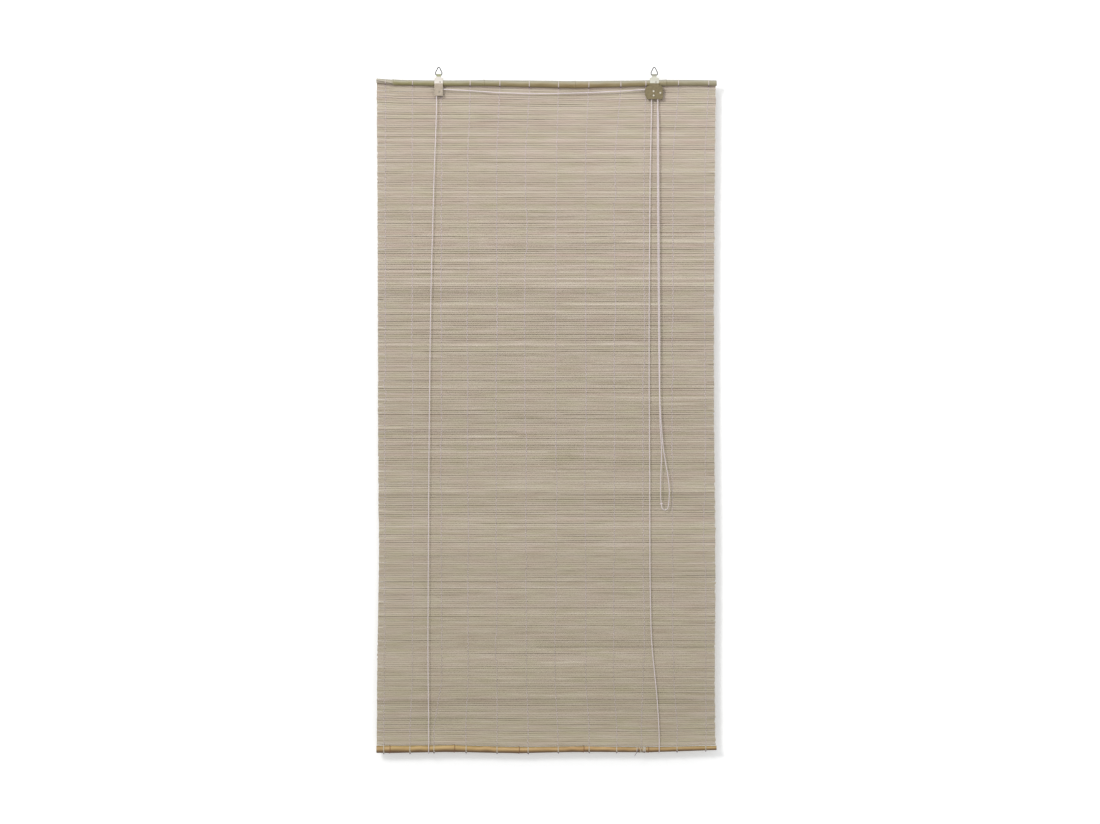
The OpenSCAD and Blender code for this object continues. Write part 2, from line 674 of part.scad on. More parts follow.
// The bend of a lift cord under the bottom rail
module cradle(x, r) {
    color("mistyrose") translate([x, 0, rail_z(x)]) rotate([0, 90, 0]) rotate([0, 0, -90])
        rotate_extrude(angle = 180) translate([r, 0]) circle(r = cord_r, $fn = 24);
}

module left_cord_cradle() {
    cradle(left_lift_x, left_cradle_r);
}

module right_cord_cradle() {
    cradle(right_lift_x, right_cradle_r);
}

module left_cord_back() {
    cord(left_back_route);
}

module right_cord_back() {
    cord(right_back_route);
}

// The knot that holds a lift cord's end behind a strap's tab
module end_knot(side) {
    color("mistyrose") translate([side * hang_x, knot_y, knot_z]) {
        sphere(d = knot_d);
        rotate([90, 0, 0]) cylinder(r = cord_r, h = knot_d / 2 + tie_play + sheet_t);
    }
}

module left_cord_knot() {
    end_knot(-1);
}

module right_cord_knot() {
    end_knot(1);
}

module cross_cord() {
    cord(cross_route);
}

module right_cord_top() {
    cord(right_top_route);
}

module pull_cord() {
    cord(pull_route);
}

// A short barrel of wound cord on one side of the pull loop
module pull_cord_knot() {
    a = pull_route[pull_knot_at];
    b = pull_route[pull_knot_at + 1];
    length = 4.5;
    middle = (a + b) / 2;
    color("mistyrose") translate(middle) rotate([0, 90 - atan2(b[2] - a[2], b[0] - a[0]), 0])
        difference() {
            cylinder(d = 2 * cord_d, h = length, center = true);
            cylinder(r = cord_r + tie_play, h = 2 * length, center = true);
        }
}

left_hanger();
right_hanger();
head_rail();
head_ties();
reed_mat();
warp_threads();
left_bracket();
left_pulley();
pulley_axle();
lock_housing();
lock_roller();
roller_axle();
lock_post();
lock_pawl();
pawl_rivet();
bracket_nails();
bottom_rail();
bottom_ties();
left_cord_front();
right_cord_front();
left_cord_cradle();
right_cord_cradle();
left_cord_back();
right_cord_back();
left_cord_knot();
right_cord_knot();
cross_cord();
right_cord_top();
pull_cord();
pull_cord_knot();
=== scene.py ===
"""Bamboo roll up blind: the visual model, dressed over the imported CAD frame.

Everything is in metres in the CAD's own frame: +X to the right as seen from the room, +Y to the wall, +Z up,
and the origin midway between the two hang points. Pieces ride on the CAD bodies by name.
"""
import math

import bpy
import numpy as np
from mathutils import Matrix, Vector


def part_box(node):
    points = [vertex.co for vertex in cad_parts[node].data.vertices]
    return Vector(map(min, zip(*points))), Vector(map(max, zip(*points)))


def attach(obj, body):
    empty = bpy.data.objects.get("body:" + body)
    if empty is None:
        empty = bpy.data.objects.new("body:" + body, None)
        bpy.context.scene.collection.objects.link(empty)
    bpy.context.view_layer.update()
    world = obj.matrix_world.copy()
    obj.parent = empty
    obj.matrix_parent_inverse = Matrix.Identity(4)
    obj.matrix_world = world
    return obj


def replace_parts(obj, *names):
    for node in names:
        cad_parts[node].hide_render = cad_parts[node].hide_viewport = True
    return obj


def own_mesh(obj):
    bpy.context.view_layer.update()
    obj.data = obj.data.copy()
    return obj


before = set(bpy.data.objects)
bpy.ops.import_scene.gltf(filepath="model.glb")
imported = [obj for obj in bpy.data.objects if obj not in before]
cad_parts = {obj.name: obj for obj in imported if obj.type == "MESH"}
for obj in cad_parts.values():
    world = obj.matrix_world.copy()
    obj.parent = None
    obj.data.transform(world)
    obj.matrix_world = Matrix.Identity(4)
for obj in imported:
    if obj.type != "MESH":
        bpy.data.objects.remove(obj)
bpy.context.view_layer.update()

MM = 0.001

# Seeds of the random generators. A row of pieces counts on from its seed.
SEED = 20
HEAD_SEED = 41
RAIL_SEED = 61
BAND_SEED = 77
WARP_SEED = 200
WARP_SWAY_SEED = 300
BORDER_SEED = 500
STATION_SEED = 700
SOIL_SEED = 900
LINE_SWAY_SEED = 4000
REED_BOW_SEED = 8000

# Canes, as in the CAD
HALF = 0.400
HEAD_Y = -0.005
HEAD_LINE = ((-400, -30.6), (-361, -35.2), (-300, -35.8), (-253.5, -36.7), (-147, -36.1), (67, -40.4),
             (210, -37.6), (253.5, -36.7), (281, -36), (340, -35.8), (400, -36.9))
HEAD_NODES = (-0.361, -0.147, 0.067, 0.281)
HEAD_D = 0.0145
HEAD_THIN = 0.0012
STUB_THIN = 0.0018
STUB_STEP = 0.004  # the length in which the cane thins to its stub
HEAD_SWELL = ((-400, -0.3), (-300, -0.7), (-150, -0.6), (-60, 0.2), (30, 0.7), (120, 0.5), (200, 0), (253, 0),
              (300, -0.3), (400, -0.3))
RAIL_LINE = ((-400, -1603), (-369, -1603.7), (-217, -1601.9), (-65, -1605.3), (87, -1602.8), (239, -1604.4),
             (337, -1601.7), (400, -1599.8))
RAIL_NODES = (-0.369, -0.217, -0.065, 0.087, 0.239)
RAIL_LEFT_D = 0.0178
RAIL_RIGHT_D = 0.0108
HOLLOW_D = 0.005
HOLLOW_DEPTH = 0.022
CANE_CHAMFER = 0.0005
# What stands off a cane's skin at a node: height, place past the node, half width
NODE_RIDGE = (0.00075, 0.0, 0.0013)
NODE_GROOVE = (0.00035, 0.0032, 0.0012)
NODE_FLARE = (0.0004, 0.0, 0.012)
RING_PAST_NODE = 0.0012  # the stained ring: its place and half width
RING_W = 0.0014
# The crack along the stub, by share of the cane's height
CRACK_START = 0.52
CRACK_FALL = 0.42
CRACK_W = 0.075
CRACK_DEPTH = 0.7

# Mat
REED_COUNT = 304
REED_STEP = 0.00511
REED_T = 0.0015
REED_T_SPREAD = 0.06  # share of the thickness
LEFT_RAGGED = 0.0003  # how far the reeds' ends are off the mat's edge
RIGHT_RAGGED = 0.0005
MAT_LEVEL = -1.59806  # the lowest reed's lower edge, if the mat were straight
MAT_GAP = 0.0005  # from the head rail's skin down to the first reed, behind the rail
RAIL_GAP = 0.0014  # from the bottom rail's skin up to the last reed
EDGE_FADE = 0.09  # share of the mat's height in which the reeds take up the canes' bows
SLIT_EVERY = 3  # every how many reeds the gap is a wide one, as in the CAD
# The mat's edges, by share of its height
LEFT_EDGE = ((0, -399.5), (0.07, -398.8), (0.13, -398), (0.19, -396.4), (0.25, -394.8), (0.31, -394),
             (0.37, -395.2), (0.49, -396.2), (0.74, -397), (0.86, -397.8), (1, -399.3))
RIGHT_EDGE = ((0, 397.5), (0.07, 396), (0.13, 395.8), (0.19, 396.8), (0.31, 397), (0.37, 396.2), (0.43, 395),
              (0.5, 393.8), (0.68, 393.8), (0.8, 394.8), (0.92, 396.8), (1, 398))
WARP_ROOM = 0.0012  # from a warp's middle to the places on a reed beside it
REED_TURN = 0.05  # how far a reed is turned about its length, in radians
STRETCH_TURN = 0.008  # how far that changes in the stretches between two warps
REED_SIDES = 8

# Reeds' edges. Pairs of gaps and bevels are in millimetres, single lengths in metres.
NARROW_GAP = (0.05, 0.12)
WIDE_GAP_MORE = (0.3, 0.5)
LINE_OFFSET = 0.0003  # how far the line between two reeds is off its even place
OUTER_BEVEL = 0.0008  # of the mat's first and last reed
# Painted shade on the same edges, where the canes meet them
OUTER_SHADE = 0.5
# Kinds of edge: dark ones take painted shade in the groove, light ones are painted lighter, plain ones take a
# little painted shade
EDGE_KINDS = (("dark", 0.54), ("light", 0.2), ("plain", 0.26))
BROKEN_DEPTH = (0.4, 1.0)
RUN_ON = 0.6  # chance that a stretch is as broken as the one before it
BROKEN_BEVEL = (0.28, 0.64)
LIGHT_SHARE = (0.6, 1.0)
PLAIN_SPREAD = (0.3, 1.7)
DARKEST_SHADE = 0.92
# What an edge has where it is least broken, and what is added where it is most broken; the last pair is
# painted shade in the groove
BROKEN_SHARE = (0.25, 0.31)
BROKEN_SHOWN = (0.55, 0.4)
PLAIN_BEVEL = (0.22, 0.08)
PLAIN_SHADE = (0.26, 0.2)
# How much the reeds' broken edges show, with their deeper bevel and painted shade, by share of the height
BROKEN_EDGES = ((0, 0.4), (0.1, 0.45), (0.29, 0.75), (0.45, 1), (0.75, 1), (0.9, 0.7), (1, 0.7))

# Reeds' tones and hues, from 0 to 1 on their ramps: what varies from reed to reed and from stretch to stretch
TONE = 0.49
# Painted light: the mat is painted paler towards its top, more so towards its right edge, for light that
# falls off downwards
TONE_TOP_LIGHT = 0.28  # how much paler the mat is at its top
TONE_RIGHT_LIGHT = 0.07  # how much more of that at its right edge
TONE_REEDS = 0.08
TONE_STRETCHES = 0.012
HUE = 0.35
HUE_RISE = 0.3
HUE_REEDS = 0.12
HUE_STRETCHES = 0.035

# Threads and ties
HEAD_TIE_X = (-0.3788, -0.3153, -0.2478, -0.1791, -0.1104, -0.0401, 0.0282, 0.0988, 0.1741, 0.2331, 0.3105,
              0.3811)
WARP_RUN_X = (-0.3797, -0.3155, -0.2478, -0.1838, -0.1174, -0.0487, 0.0223, 0.091, 0.1597, 0.229, 0.2971,
              0.3729)
RAIL_TIE_X = (-0.382, -0.3212, -0.2648, -0.1895, -0.1164, -0.0436, 0.027, 0.0999, 0.1658, 0.2235, 0.307,
              0.3752)
STRAP_WARP_X = -0.2478  # the warp that ends under the pulley bracket's strap
KNOT_X = 0.2235  # the bottom tie that is the big knot
THREAD_D = 0.0012
THREAD_SEAT = 0.45  # a thread's axis over the reed, in thicknesses of the thread
THREADS_APART = 0.7  # half the distance of the two threads of a warp, in thicknesses
REED_PASSED = (0.0, 0.17, 0.83)  # where a thread changes sides and passes over a reed, by share of the reed
TIE_D = 0.001
TIE_SEAT = 0.45  # the tie's axis over the cane's skin, in thicknesses of the tie
TIE_LEAN = 0.0008
TIE_KNOT = 0.0032
TURN_POINTS = 26
WARP_STEP = 0.0012  # how far a warp steps aside
WARP_STEPS = 7
WARP_STEP_ZONE = (0.12, 0.88)  # by share of the mat's height, as the step's length
WARP_STEP_LENGTH = 0.006
WARP_SOIL = ((0.1, 0.0), (0.55, 0.2), (0.85, 0.6))  # how soiled, by share of the depth

# Slow random changes: how far, and in what length
LINE_SWAY = (0.00012, 0.2)
REED_BOW = (0.0002, 0.16)
TONE_BANDS = (0.2, 0.022)  # more of it towards the bottom
WARP_SWAY = (0.0006, 0.08)
SOIL_SPREAD = (0.3, 0.03)
CANE_ROUGH = (0.00012, 0.05)
CANE_ASIDE = (0.0004, 0.17)
CANE_RISE = (0.0003, 0.14)
CANE_MOTTLE = (0.07, 0.02)
CRACK_SPREAD = (0.4, 0.09)

# Cords: the routes of the CAD, in millimetres
CORD_D = 0.0022
CORD_LAY = 0.0085  # the length in which a strand goes once round
CORD_SOIL = ((-1.2, 0.8), (-0.5, 0.6), (-0.2, 0.3), (-0.05, 0.0))  # how soiled, by height
END_KNOT = 0.0036
END_KNOT_IN = 0.0026  # from the end knot's middle to its back
LOOP_KNOT = 0.0042
# Cord's radius where it is drawn tight
END_KNOT_R = 0.00095
CORD_END_R = 0.001
LOOP_KNOT_R = 0.0009
LEFT_FRONT = ((-258.5, -9.5, -59), (-258.5, -9.5, -71), (-264.5, -9.5, -266), (-273.1, -9.6, -618.5),
              (-278.5, -10, -1325.3), (-277, -9.8, -1592), (-277, -9.8, -1604))
RIGHT_FRONT = ((246.9, -8.2, -57.5), (246.9, -8.2, -69.5), (243.5, -8.1, -264.7), (241.2, -7.9, -617.6),
               (242.4, -7.8, -936.8), (246, -7.5, -1325), (260.5, -7.4, -1492.3), (265, -7.4, -1592),
               (265, -7.4, -1604))
LEFT_BACK = ((-253.5, 5.9, -51.4), (-253.5, 5.9, -63.4), (-256, 7.5, -297.9), (-266.1, 9, -1006.6),
             (-277, 9.8, -1592), (-277, 9.8, -1604))
RIGHT_BACK = ((253.5, 5.9, -51.4), (253.5, 5.9, -63.4), (255.9, 7.1, -297.9), (260, 7.5, -1006.6),
              (265, 7.4, -1592), (265, 7.4, -1604))
# Both cords pass over the lock's roller and down, side by side
OVER_ROLLER = ((251.5, -51.9), (253.3, -52.3), (254.8, -53.2), (255.8, -54.7), (256.1, -56.5), (261.5, -74),
               (261.5, -76))
CROSS = ((-258.5, -9.5, -59), (-258.5, -9.5, -58), (-258, -9.5, -55.6), (-256.7, -9.5, -53.6),
         (-254.7, -9.5, -52.3), (-252.3, -9.5, -51.8), (-239.7, -9.5, -52), (-179.2, -9.7, -55),
         (-111.2, -9.9, -59.4), (-10.5, -10.1, -61.8), (95.3, -10.4, -59.5), (170.9, -10.6, -56),
         (236.4, -10.7, -52.3)) + tuple((x, -10.8, z) for x, z in OVER_ROLLER)
RIGHT_TOP = ((246.9, -8.2, -57.5), (246.9, -8.2, -56.5), (247.3, -8.2, -54.7), (248.2, -8.2, -53.2),
             (249.7, -8.2, -52.3)) + tuple((x, -8.2, z) for x, z in OVER_ROLLER)
PULL = ((261.5, -10.8, -76), (261.5, -10.8, -81), (260.7, -11.4, -110), (260.5, -12, -150),
        (261, -12, -263.9), (263.3, -12, -616.9), (266.8, -12, -840), (270, -12, -890),
        (270.2, -12, -915), (268.8, -12, -950), (267.9, -12, -982), (267.9, -12, -1002),
        (269.1, -12, -1020), (270.6, -12, -1031.5), (271.9, -12, -1036), (274.5, -12, -1039),
        (278.3, -12, -1040), (282.1, -12, -1039), (284.7, -12, -1036), (286, -12, -1031.5),
        (287.5, -12, -1020), (288.4, -12, -1002), (287.7, -12, -982), (284.3, -12, -955),
        (277.3, -12, -915), (272.8, -12, -880), (269.6, -12, -840), (265.9, -12, -616.9),
        (263.6, -12, -263.9), (263.1, -12, -150), (262.7, -9.6, -110), (261.5, -8.2, -81),
        (261.5, -8.2, -76))

# Photograph's frame
VIEW_W = 2.588  # width of the view at the blind
VIEW_CENTRE = (0.0082, -0.810)
CAMERA_DISTANCE = 8.0
SENSOR_W = 36.0

# Stage and light
WALL_Y = 0.030
FLOOR_Z = -1.9
STAGE_HALF_W = 30.0
WALL_TOP = 12.0
FLOOR_COLOUR = (0.92, 0.92, 0.91)
WALL_COLOUR = (0.9, 0.895, 0.89)
WALL_FILL = 0.23  # glow of the wall where nothing is near it
WALL_FILL_COLOUR = (0.95, 1.0, 1.03)
NEAR_WALL = 0.15
OPENNESS = (0.2, 0.45)  # how open the wall has to be for no glow and for all of it
SKY_ABOVE = 0.77
SKY_BELOW = 0.6
SKY_TURN = 0.7  # the slope of a ray from which on the sky is as bright as above or below
KEY_PLACE = (-4.2, -8.0, 3.4)
KEY_TARGET = (0, 0, -0.8)
KEY_SIZE = 2.3
KEY_POWER = 355.0
FRONT_PLACE = (-0.2, -1.5, 0.75)
FRONT_TARGET = (0, 0, -0.25)
FRONT_SIZE = 1.2
FRONT_POWER = 7.0

scene = bpy.context.scene
scene.view_settings.view_transform = "Standard"
rng = np.random.default_rng(SEED)


# Camera

def make_camera():
    data = bpy.data.cameras.new("camera")
    data.sensor_width = SENSOR_W
    data.lens = SENSOR_W * CAMERA_DISTANCE / VIEW_W
    camera = bpy.data.objects.new("camera", data)
    camera.location = (VIEW_CENTRE[0], -CAMERA_DISTANCE, VIEW_CENTRE[1])
    camera.rotation_euler = (math.radians(90), 0, 0)
    scene.collection.objects.link(camera)
    scene.camera = camera


# Mesh helpers

def make_piece(name, verts, faces, material, body, smooth=True):
    """A mesh piece from arrays, with its material, riding on a CAD body."""
    mesh = bpy.data.meshes.new(name)
    mesh.from_pydata(np.asarray(verts).tolist(), [], [list(f) for f in faces])
    mesh.update()
    mesh.polygons.foreach_set("use_smooth", [smooth] * len(mesh.polygons))
    mesh.materials.append(material)
    obj = bpy.data.objects.new(name, mesh)
    scene.collection.objects.link(obj)
    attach(obj, body)
    return obj


def set_attribute(obj, name, values):
    attribute = obj.data.attributes.new(name, "FLOAT", "POINT")
    attribute.data.foreach_set("value", np.asarray(values, np.float32))


def smooth_path(points, step):
    """A smooth line through the points, as an array with about one point a step.

    Where a short chord meets a long one, the line takes the short one's direction.
    """
    short = 0.2
    p = np.asarray(points, float)
    chord = np.linalg.norm(np.diff(p, axis=0), axis=1)
    knots = np.concatenate([[0], np.cumsum(chord)])
    slope = np.empty_like(p)
    slope[1:-1] = (p[2:] - p[:-2]) / (knots[2:] - knots[:-2])[:, None]
    slope[0], slope[-1] = (p[1] - p[0]) / chord[0], (p[-1] - p[-2]) / chord[-1]
    for i in range(1, len(p) - 1):
        if min(chord[i - 1], chord[i]) < short * max(chord[i - 1], chord[i]):
            near = i - 1 if chord[i - 1] < chord[i] else i
            slope[i] = (p[near + 1] - p[near]) / chord[near]
    s = np.linspace(0, knots[-1], max(2, int(round(knots[-1] / step))) + 1)
    k = np.clip(np.searchsorted(knots, s, side="right") - 1, 0, len(chord) - 1)
    h, u = chord[k][:, None], ((s - knots[k]) / chord[k])[:, None]
    return ((2 * u**3 - 3 * u**2 + 1) * p[k] + (u**3 - 2 * u**2 + u) * h * slope[k]
            + (3 * u**2 - 2 * u**3) * p[k + 1] + (u**3 - u**2) * h * slope[k + 1])


def frames_along(path):
    """Two unit vectors across the path at each point, turned as little as possible from point to point."""
    tangent = np.gradient(path, axis=0)
    tangent /= np.linalg.norm(tangent, axis=1)[:, None]
    across = np.empty_like(path)
    start = np.array([0.0, 1.0, 0.0]) if abs(tangent[0][1]) < 0.9 else np.array([1.0, 0.0, 0.0])
    for i, t in enumerate(tangent):
        start = start - t * (start @ t)
        start /= np.linalg.norm(start)
        across[i] = start
    return across, np.cross(tangent, across)


def tube_faces(rings, sides, first):
    """The walls between rings of vertices, from a first vertex on, and the two end caps."""
    i, k = np.meshgrid(np.arange(rings - 1), np.arange(sides), indexing="ij")
    a, b = first + i * sides + k, first + i * sides + (k + 1) % sides
    walls = np.stack([a, b, b + sides, a + sides], -1).reshape(-1, 4)
    caps = [list(range(first + sides - 1, first - 1, -1)),
            list(range(first + (rings - 1) * sides, first + rings * sides))]
    return walls.tolist() + caps


def tube_mesh(path, radii, sides, first=0):
    """Vertices and faces of a closed tube. radii is one value, one a ring, or one a ring and side."""
    path = np.asarray(path, float)
    rings = len(path)
    u, v = frames_along(path)
    angle = np.arange(sides) * 2 * math.pi / sides
    radii = np.broadcast_to(np.asarray(radii, float).reshape(-1, 1) if np.ndim(radii) == 1 else radii,
                            (rings, sides))
    verts = (path[:, None, :] + radii[:, :, None]
             * (u[:, None, :] * np.cos(angle)[None, :, None] + v[:, None, :] * np.sin(angle)[None, :, None]))
    return verts.reshape(-1, 3), tube_faces(rings, sides, first)


def join_tubes(tubes):
    """One mesh from several (path, radii, sides)."""
    verts, faces, count = [], [], 0
    for path, radii, sides in tubes:
        v, f = tube_mesh(path, radii, sides, count)
        verts.append(v)
        faces += f
        count += len(v)
    return np.concatenate(verts), faces


def wander(points, size, wavelength, seed):
    """Smooth random values from -size to size at the given places, the same for the same seed."""
    points = np.asarray(points, float)
    local = np.random.default_rng(seed)
    place = (points - points.min()) / wavelength
    values = local.uniform(-1, 1, int(place.max()) + 3)
    k = place.astype(int)
    u = place - k
    u = u * u * (3 - 2 * u)
    return size * (values[k] * (1 - u) + values[k + 1] * u)


def knot_path(centre, size, turn, count=48):
    """The line of a small overhand knot: a trefoil pressed flat, turned about Z.

    Its ends don't quite meet.
    """
    closed, width = 0.985, 6
    t = np.linspace(0, 2 * math.pi * closed, count)
    x = np.sin(t) + 2 * np.sin(2 * t)
    z = np.cos(t) - 2 * np.cos(2 * t)
    y = -np.sin(3 * t)
    c, s = math.cos(turn), math.sin(turn)
    local = np.stack([x * c - y * s, x * s + y * c, z], -1) * size / width
    return np.asarray(centre) + local


# Lines of the canes

def line_at(line, x):
    xs, zs = np.array(line, float).T * MM
    return np.interp(x, xs, zs)


def cane_axis(line, x):
    """A cane's axis height, with its corners at the nodes softened."""
    reach = 0.02
    return (line_at(line, np.clip(x - reach, -HALF, HALF)) + 2 * line_at(line, x)
            + line_at(line, np.clip(x + reach, -HALF, HALF))) / 4


def head_radius(x):
    stub = np.clip((HEAD_NODES[0] - x) / STUB_STEP + 0.5, 0, 1)
    return HEAD_D / 2 - HEAD_THIN / 2 * (x / HALF) ** 2 - stub * STUB_THIN / 2 + line_at(HEAD_SWELL, x)


def rail_radius(x):
    return np.interp(x, [-HALF, HALF], [RAIL_LEFT_D / 2, RAIL_RIGHT_D / 2])


def bell(d, height, place, half_w):
    return height * np.exp(-((d - place) / half_w) ** 2)


def node_swell(x, nodes):
    """How far a cane's skin stands off its plain taper: a ridge, a groove and a slow swell at each node."""
    swell = np.zeros_like(x)
    for n in nodes:
        swell += bell(x - n, *NODE_RIDGE) - bell(x - n, *NODE_GROOVE)
        swell += bell(x - n, *NODE_FLARE)
    return swell


# Materials

def set_inputs(tree, node, values):
    """Gives a node's inputs a value, a colour without its alpha, or a link from another node's output."""
    for name, value in dict(values).items():
        socket = node.inputs[name]
        if isinstance(value, bpy.types.NodeSocket):
            tree.links.new(value, socket)
        else:
            socket.default_value = (*value, 1) if socket.type == "RGBA" else value


def add_node(tree, kind, values=(), **settings):
    """A new node. Its settings come first, because they decide which inputs it has."""
    node = tree.nodes.new("ShaderNode" + kind)
    for name, value in settings.items():
        setattr(node, name, value)
    set_inputs(tree, node, values)
    return node


def new_material(name, colour, roughness, metallic=0.0):
    material = bpy.data.materials.new(name)
    material.use_nodes = True
    tree = material.node_tree
    shader = tree.nodes["Principled BSDF"]
    set_inputs(tree, shader, {"Base Color": colour, "Roughness": roughness, "Metallic": metallic})
    return material, tree, shader


def srgb(r, g, b):
    """A colour as written in sRGB, 0 to 255, as linear values."""
    shares = (r / 255, g / 255, b / 255)
    return tuple(c / 12.92 if c <= 0.04045 else ((c + 0.055) / 1.055) ** 2.4 for c in shares)


def ramp(tree, source, *stops):
    node = add_node(tree, "ValToRGB", {"Fac": source})
    elements = node.color_ramp.elements
    while len(elements) < len(stops):
        elements.new(0.5)
    for element, (place, colour) in zip(elements, stops):
        element.position = place
        element.color = (*colour, 1)
    return node.outputs["Color"]


def noise(tree, scale, detail, stretch=(1, 1, 1)):
    """Noise over the object's own coordinates, stretched."""
    place = add_node(tree, "TexCoord").outputs["Object"]
    stretched = add_node(tree, "Mapping", {"Vector": place, "Scale": stretch}).outputs["Vector"]
    node = add_node(tree, "TexNoise", {"Vector": stretched, "Scale": scale, "Detail": detail})
    return node.outputs["Fac"]


def mix(tree, kind, factor, a, b):
    node = add_node(tree, "Mix", {"Factor": factor, "A": a, "B": b}, data_type="RGBA", blend_type=kind)
    return node.outputs["Result"]


def add_bump(tree, shader, height, strength, distance):
    bump = add_node(tree, "Bump", {"Height": height, "Strength": strength, "Distance": distance})
    set_inputs(tree, shader, {"Normal": bump.outputs["Normal"]})


def attribute(tree, name):
    return add_node(tree, "Attribute", attribute_name=name).outputs["Fac"]


def reed_material():
    material, tree, shader = new_material("reed", srgb(192, 181, 163), 0.62)
    tone = ramp(tree, attribute(tree, "tone"), (0.0, srgb(157, 148, 134)),
                (0.3, srgb(183, 175, 162)), (0.7, srgb(195, 187, 175)), (1.0, srgb(213, 206, 196)))
    hue = ramp(tree, attribute(tree, "hue"), (0.0, srgb(252, 252, 238)),
               (0.5, srgb(255, 252, 248)), (1.0, srgb(255, 246, 246)))
    plain = mix(tree, "MULTIPLY", 1.0, tone, hue)
    patch = ramp(tree, noise(tree, 1.0, 2, (13, 1, 40)), (0.32, srgb(250, 254, 240)),
                 (0.5, srgb(255, 253, 251)), (0.68, srgb(255, 247, 248)))
    tinted = mix(tree, "MULTIPLY", 0.55, plain, patch)
    fibre = ramp(tree, noise(tree, 1.0, 4, (22, 900, 1500)), (0.3, srgb(224, 220, 212)),
                 (0.7, srgb(255, 255, 255)))
    fibred = mix(tree, "MULTIPLY", 0.8, tinted, fibre)
    blotch = ramp(tree, noise(tree, 1.0, 2, (9, 9, 160)), (0.35, srgb(238, 235, 228)),
                  (0.65, srgb(255, 255, 255)))
    blotched = mix(tree, "MULTIPLY", 0.7, fibred, blotch)
    # Painted shade: dark lines in the grooves between reeds, and along the outer edge of the mat's first and
    # last reed
    groove_shaded = mix(tree, "MIX", attribute(tree, "edge_painted_shade"), blotched, srgb(84, 74, 60))
    # Lighter lines along the edges of the light kind
    split = mix(tree, "MIX", attribute(tree, "edge_light"), groove_shaded, srgb(232, 224, 210))
    set_inputs(tree, shader, {"Base Color": split, "Specular IOR Level": 0.25})
    add_bump(tree, shader, noise(tree, 1.0, 3, (40, 1600, 2600)), 0.35, 0.00012)
    return material


def cane_material(name, bands, tints, amounts, node_colour, streak_colour):
    """Bamboo skin: bands of colour along the cane, tinted round it by height with painted light and shade,
    with streaks and rings at the nodes.

    bands are (share of the length, colour); tints and amounts are (share of the height, colour or amount).
    """
    material, tree, shader = new_material(name, bands[0][1], 0.45)
    skin = ramp(tree, attribute(tree, "along"), *bands)
    patch = ramp(tree, noise(tree, 1.0, 3, (28, 90, 90)), (0.35, srgb(226, 220, 204)),
                 (0.65, srgb(255, 255, 255)))
    patched = mix(tree, "MULTIPLY", 0.8, skin, patch)
    streak = ramp(tree, noise(tree, 1.0, 4, (14, 420, 420)), (0.42, (0, 0, 0)),
                  (0.72, (0.5, 0.5, 0.5)))
    streaked = mix(tree, "MIX", streak, patched, streak_colour)
    # Tint by height round the cane: painted light and shade, given for each cane below
    tint = ramp(tree, attribute(tree, "around"), *tints)
    amount = ramp(tree, attribute(tree, "around"), *((place, (a, a, a)) for place, a in amounts))
    weathered_lit_and_shaded = mix(tree, "MIX", amount, streaked, tint)
    ring = ramp(tree, attribute(tree, "node_ring"), (0.1, (0, 0, 0)), (0.9, (1, 1, 1)))
    ringed = mix(tree, "MIX", ring, weathered_lit_and_shaded, node_colour)
    cracked = mix(tree, "MIX", attribute(tree, "split"), ringed, srgb(84, 76, 64))
    set_inputs(tree, shader, {"Base Color": cracked, "Specular IOR Level": 0.3, "Coat Weight": 0.06,
                              "Coat Roughness": 0.4})
    add_bump(tree, shader, noise(tree, 1.0, 4, (20, 700, 700)), 0.3, 0.0002)
    return material


def thread_material(name, colour, shade, twist, soiled=None):
    """Cotton: a soft sheen and fine fibres across the strands, and soiled towards the blind's bottom."""
    material, tree, shader = new_material(name, colour, 0.85)
    fibre = noise(tree, twist, 3)
    spun = ramp(tree, fibre, (0.3, shade), (0.7, colour))
    if soiled:
        spun = mix(tree, "MIX", attribute(tree, "soil"), spun, soiled)
    set_inputs(tree, shader, {"Base Color": spun, "Sheen Weight": 0.25, "Specular IOR Level": 0.2})
    add_bump(tree, shader, fibre, 0.5, 0.0001)
    return material


def metal_material(name, colour, worn, roughness, metallic, zones=()):
    """Plated sheet or wire: blotchy plating with fine scratches. zones are (z from which on, colour)."""
    blur = 0.0015
    material, tree, shader = new_material(name, colour, roughness, metallic)
    patch = ramp(tree, noise(tree, 260, 4), (0.35, worn), (0.65, colour))
    for from_z, zone_colour in zones:
        place = add_node(tree, "TexCoord").outputs["Object"]
        z = add_node(tree, "SeparateXYZ", {"Vector": place}).outputs["Z"]
        above = add_node(tree, "MapRange", {"Value": z, "From Min": from_z - blur, "From Max": from_z + blur},
                         interpolation_type="SMOOTHSTEP")
        patch = mix(tree, "MIX", above.outputs["Result"], patch, zone_colour)
    scratch = noise(tree, 1.0, 3, (2500, 2500, 500))
    rough = add_node(tree, "MapRange", {"Value": scratch, "To Min": roughness - 0.08,
                                        "To Max": roughness + 0.1})
    set_inputs(tree, shader, {"Base Color": patch, "Roughness": rough.outputs["Result"]})
    add_bump(tree, shader, scratch, 0.15, 0.00005)
    return material


def nylon_material():
    material, tree, shader = new_material("wheel", srgb(224, 221, 212), 0.4)
    grime = ramp(tree, noise(tree, 300, 3), (0.3, srgb(206, 201, 188)), (0.7, srgb(228, 226, 218)))
    set_inputs(tree, shader, {"Base Color": grime})
    return material


